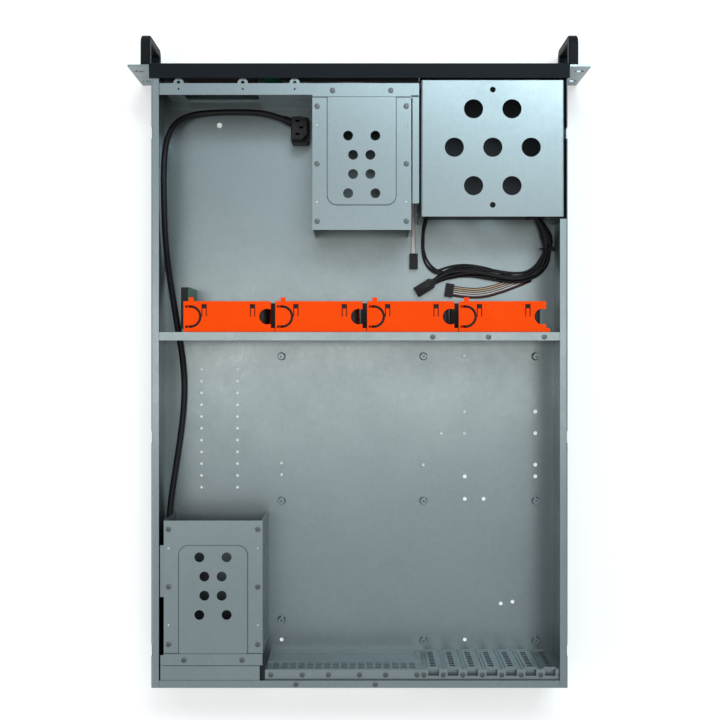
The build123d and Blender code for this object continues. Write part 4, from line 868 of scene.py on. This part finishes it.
carrierLook = {
    "count": 4,
    "foot": 0.004,              # how far the foot passes the far edge
    "tab": 0.004,               # how far the tab passes the front edge
    "holeRadius": 0.0082,
    "holeIn": 0.0039,
    "holeDeep": 0.055,
    "holeSides": 48,
    "pullIn": 0.007,
    "pullRadius": 0.0105,
    "pullSlit": 0.0026,
    "pullEdge": 0.0018,
    "pullSides": 64,
    "cutDeep": 0.0060,
    "latchIns": (0.0215, 0.072),
    "latchWidth": 0.0054,
    "latchDepth": 0.0046,
    "latchFromFront": 0.0030,
    "overcut": 0.0005,          # how far a cutter stands out of the top
    "spare": 0.02,              # more than enough to cut the half ring
}


def pullCutter(look, middle, high):
    outer = look["pullRadius"] + look["pullSlit"] / 2
    inner = look["pullRadius"] - look["pullSlit"] / 2
    spare = look["spare"]
    ring = addCylinder("pullRing", outer, high, middle, look["pullSides"])
    cutAway(ring, addCylinder("pullCore", inner, spare, middle, look["pullSides"]))
    halfMiddle = (middle[0] + spare, middle[1], middle[2])
    cutAway(ring, addCube("pullHalf", (2 * spare, 2 * spare, spare), halfMiddle))
    return ring


def carrierModel(look):
    low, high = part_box("fan_carrier_1")
    farEdge = low[0] + look["foot"]
    front = low[1] + look["tab"]
    middleY = (front + high[1]) / 2
    top = high[2]
    model = remade("fan_carrier_1", "carrierModel")
    holeMiddle = (farEdge + look["holeIn"], middleY, top - look["holeDeep"] / 2 + 2 * look["overcut"])
    hole = addCylinder("fingerHole", look["holeRadius"], look["holeDeep"], holeMiddle, look["holeSides"])
    cutAway(model, hole)
    cutHigh = look["cutDeep"] + 2 * look["overcut"]
    cutMiddle = top - look["cutDeep"] / 2 + look["overcut"]
    cutAway(model, pullCutter(look, (high[0] - look["pullIn"], middleY, cutMiddle), cutHigh))
    barLong = look["pullIn"] - look["pullEdge"] + look["overcut"]
    barX = high[0] - look["pullEdge"] - barLong / 2
    for side in (-1, 1):
        barMiddle = (barX, middleY + side * look["pullRadius"], cutMiddle)
        cutAway(model, addCube("pullBar", (barLong, look["pullSlit"], cutHigh), barMiddle))
    latchY = front + look["latchFromFront"] + look["latchDepth"] / 2
    for latchIn in look["latchIns"]:
        windowSize = (look["latchWidth"], look["latchDepth"], cutHigh)
        cutAway(model, addCube("latchWindow", windowSize, (high[0] - latchIn, latchY, cutMiddle)))
    makeActive(model)
    bpy.ops.object.shade_flat()
    return model


def remakeCarriers(look):
    model = carrierModel(look)
    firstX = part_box("fan_carrier_1")[0][0]
    for number in range(1, look["count"] + 1):
        nodeName = f"fan_carrier_{number}"
        carrier = copyOf(model, f"fanCarrier{number}")
        placed(carrier, 0, Vector((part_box(nodeName)[0][0] - firstX, 0, 0)))
        dress(carrier, finishes["orange_plastic"])
        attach(carrier, f"fan_module_{number}")
        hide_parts(nodeName)
    bpy.data.meshes.remove(model.data)


remakeCarriers(carrierLook)
print("stage: fan carriers")


# Screws: domed heads with a cross recess, one set for each group in the frame

screwLook = {
    "head": 0.0028,
    "headHeight": 0.0009,
    "headSides": 28,
    "dome": 0.0003,
    "domeSteps": ((0.22, 0.7), (0.30, 0.3)),    # inwards, of the head, and up, of the dome
    "shank": 0.0015,
    "shankLength": 0.0030,
    "recessLong": 0.0036,
    "recessWide": 0.0011,
    "recessDeep": 0.0007,
    "recessOver": 0.0002,       # how far the cutter stands out of the dome
    "groups": ("slot_screws", "rear_panel_screws", "front_cage_screws", "rear_cage_screws",
               "fan_wall_screws"),
    "reach": 0.0065,            # corners this close belong to one screw
    "turnStep": 0.71,           # each screw stops at another angle
}


def screwModel(look):
    headMiddle = (0, 0, look["headHeight"] / 2)
    head = addCylinder("screwModel", look["head"], look["headHeight"], headMiddle, look["headSides"])
    pickFaces(head, "Z", 1)
    for inwards, up in look["domeSteps"]:
        bpy.ops.mesh.inset(thickness=look["head"] * inwards, depth=look["dome"] * up)
    bpy.ops.object.mode_set(mode="OBJECT")
    pickFaces(head, "Z", -1)
    bpy.ops.mesh.inset(thickness=look["head"] - look["shank"], depth=0)
    pullOut(0, 0, -look["shankLength"])
    recessTop = look["headHeight"] + look["dome"] + look["recessOver"]
    recessMiddle = (0, 0, recessTop - look["recessDeep"] / 2)
    deep = look["recessDeep"] + 2 * look["recessOver"]
    cutAway(head, addCube("recessA", (look["recessLong"], look["recessWide"], deep), recessMiddle))
    cutAway(head, addCube("recessB", (look["recessWide"], look["recessLong"], deep), recessMiddle))
    smoothed(head)
    return head


def screwPlaces(node, look):
    groups = []
    for vertex in node.data.vertices:
        for group in groups:
            if (vertex.co - group[0]).xy.length < look["reach"]:
                group.append(vertex.co)
                break
        else:
            groups.append([vertex.co])
    places = []
    for group in groups:
        xs, ys, zs = zip(*group)
        seat = max(zs) - look["headHeight"]
        places.append(Vector(((min(xs) + max(xs)) / 2, (min(ys) + max(ys)) / 2, seat)))
    return places


def fitScrews(look):
    model = screwModel(look)
    for groupName in look["groups"]:
        screws = []
        for index, place in enumerate(screwPlaces(nodes[groupName], look)):
            screw = copyOf(model, f"{groupName}Copy{index}")
            placed(screw, look["turnStep"] * index, place)
            dress(screw, finishes["zinc_screws"])
            screws.append(screw)
        words = groupName.split("_")
        group = joined(screws, words[0] + "".join(word.title() for word in words[1:]))
        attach(group, "chassis")
        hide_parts(groupName)
    bpy.data.meshes.remove(model.data)


fitScrews(screwLook)
print("stage: screws")


# Drive cages: pressed lines on both covers, a slit beside the front cage and a seam on the rear bracket

seamLook = {
    "covers": (     # node, piece, and whether its pressed line opens to the front
        ("front_drive_cage_cover", "frontCageCover", True),
        ("rear_drive_cage_cover", "rearCageCover", False),
    ),
    "tube": 0.0007,
    "half": 0.0357,
    "fieldEnd": 0.0261,
    "corner": 0.0099,
    "arcSteps": 8,
    "plateTop": 0.0838,
    "overrun": 0.001,           # how far a line runs past the sheet's edge
    "slitLow": (-0.0555, -0.2895, 0.0780),
    "slitHigh": (-0.0540, -0.1500, 0.0880),
    "bracketSeam": (0.3019, 0.0846),        # Y and Z
}
pinLook = {
    "radius": 0.00105,
    "sides": 20,
    "low": 0.0827,
    "high": 0.0840,
    "dome": 0.00015,
    "domeInset": 0.35,                      # of the radius
    "smoothAngle": 40,
    "fromSide": 0.005,
    "rows": (0.0293, 0.1093),               # from the open end of the cover
}


def standIn(piece, nodeName):
    makeActive(piece)
    bpy.ops.object.shade_flat()
    dress(piece, finishes["galvanised_steel"])
    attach(piece, "chassis")
    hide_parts(nodeName)


def pressLine(piece, name, path, look):
    cutAway(piece, wireMesh(name, path, look["tube"], finishes["galvanised_steel"]))


def fieldPath(low, high, look, opensFront):
    middle = (low[0] + high[0]) / 2
    way = 1 if opensFront else -1
    start = low[1] - look["overrun"] if opensFront else high[1] + look["overrun"]
    end = high[1] - look["fieldEnd"] if opensFront else low[1] + look["fieldEnd"]
    corner = look["corner"]
    points = [(middle - look["half"], start)]
    for side, firstAngle in ((-1, 180), (1, 90)):
        arcX = middle + side * (look["half"] - corner)
        for step in range(look["arcSteps"] + 1):
            angle = math.radians(firstAngle - 90 * step / look["arcSteps"])
            points.append((arcX + corner * math.cos(angle), end - way * corner * (1 - math.sin(angle))))
    points.append((middle + look["half"], start))
    return [Vector((x, y, look["plateTop"])) for x, y in points]


def pinModel(look):
    high = look["high"] - look["low"]
    pin = addCylinder("pinModel", look["radius"], high, (0, 0, look["low"] + high / 2), look["sides"])
    pickFaces(pin, "Z", 1)
    bpy.ops.mesh.inset(thickness=look["radius"] * look["domeInset"], depth=look["dome"])
    bpy.ops.object.mode_set(mode="OBJECT")
    smoothed(pin, look["smoothAngle"])
    return pin


def pressCovers(look, pins):
    model = pinModel(pins)
    allPins = []
    for nodeName, name, opensFront in look["covers"]:
        low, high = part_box(nodeName)
        cover = remade(nodeName, name)
        pressLine(cover, f"{name}Line", fieldPath(low, high, look, opensFront), look)
        standIn(cover, nodeName)
        for row in pins["rows"]:
            rowY = low[1] + row if opensFront else high[1] - row
            for sideX in (low[0] + pins["fromSide"], high[0] - pins["fromSide"]):
                pin = copyOf(model, "coverPin")
                placed(pin, 0, Vector((sideX, rowY, 0)))
                dress(pin, finishes["bright_pin"])
                allPins.append(pin)
    bpy.data.meshes.remove(model.data)
    pinSet = joined(allPins, "coverPins")
    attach(pinSet, "chassis")


def slitCage(look):
    cage = remade("front_drive_cage", "frontCage")
    cutAway(cage, addBlock("cageSlit", look["slitLow"], look["slitHigh"]))
    standIn(cage, "front_drive_cage")


def seamBracket(look):
    low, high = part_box("rear_cage_bracket")
    bracket = remade("rear_cage_bracket", "rearCageBracket")
    ends = (low[0] - look["overrun"], high[0] + look["overrun"])
    pressLine(bracket, "bracketSeamLine", [Vector((x, *look["bracketSeam"])) for x in ends], look)
    standIn(bracket, "rear_cage_bracket")


pressCovers(seamLook, pinLook)
slitCage(seamLook)
seamBracket(seamLook)
print("stage: drive cages")


# Foam filter behind the bezel's slots, and painted shade in the vents of the slot covers: dark blocks
# that stand in for the shade seen through them

filterLook = {
    "low": (0.1125, -0.3233, 0.0090),
    "high": (0.1875, -0.3215, 0.0790),
    "rim": 0.003,
    "dish": 0.0004,
    "soft": 0.0004,
}


def fitFilter(look):
    foam = addBlock("bezelFilter", look["low"], look["high"])
    pickFaces(foam, "Y", 1)
    bpy.ops.mesh.inset(thickness=look["rim"], depth=-look["dish"])
    bpy.ops.object.mode_set(mode="OBJECT")
    softEdges(foam, look["soft"])
    dress(foam, finishes["foam_filter"])
    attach(foam, "chassis")


ventShadeLook = {
    "covers": 7,
    "vents": 7,                 # in each cover
    "pitch": 0.0092,
    "middleZ": 0.0445,
    "size": (0.00566, 0.0004, 0.00656),
    "fromFront": 0.0006,
    "soft": 0.0001,
}


# dark blocks in each vent, painted shade where the vents only show shade
def fitVentShade(look):
    model = addCube("ventShadeModel", look["size"], (0, 0, look["middleZ"]))
    softEdges(model, look["soft"])
    shadeBlocks = []
    for number in range(1, look["covers"] + 1):
        low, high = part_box(f"slot_cover_{number}")
        for step in range(look["vents"]):
            plug = copyOf(model, f"ventShadeBlock{number}_{step + 1}")
            up = (step - (look["vents"] - 1) / 2) * look["pitch"]
            placed(plug, 0, Vector(((low[0] + high[0]) / 2, low[1] + look["fromFront"], up)))
            dress(plug, finishes["black_plastic"])
            shadeBlocks.append(plug)
    bpy.data.meshes.remove(model.data)
    group = joined(shadeBlocks, "slotVentShade")
    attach(group, "chassis")


fitFilter(filterLook)
fitVentShade(ventShadeLook)
print("stage: filter and vent plugs")
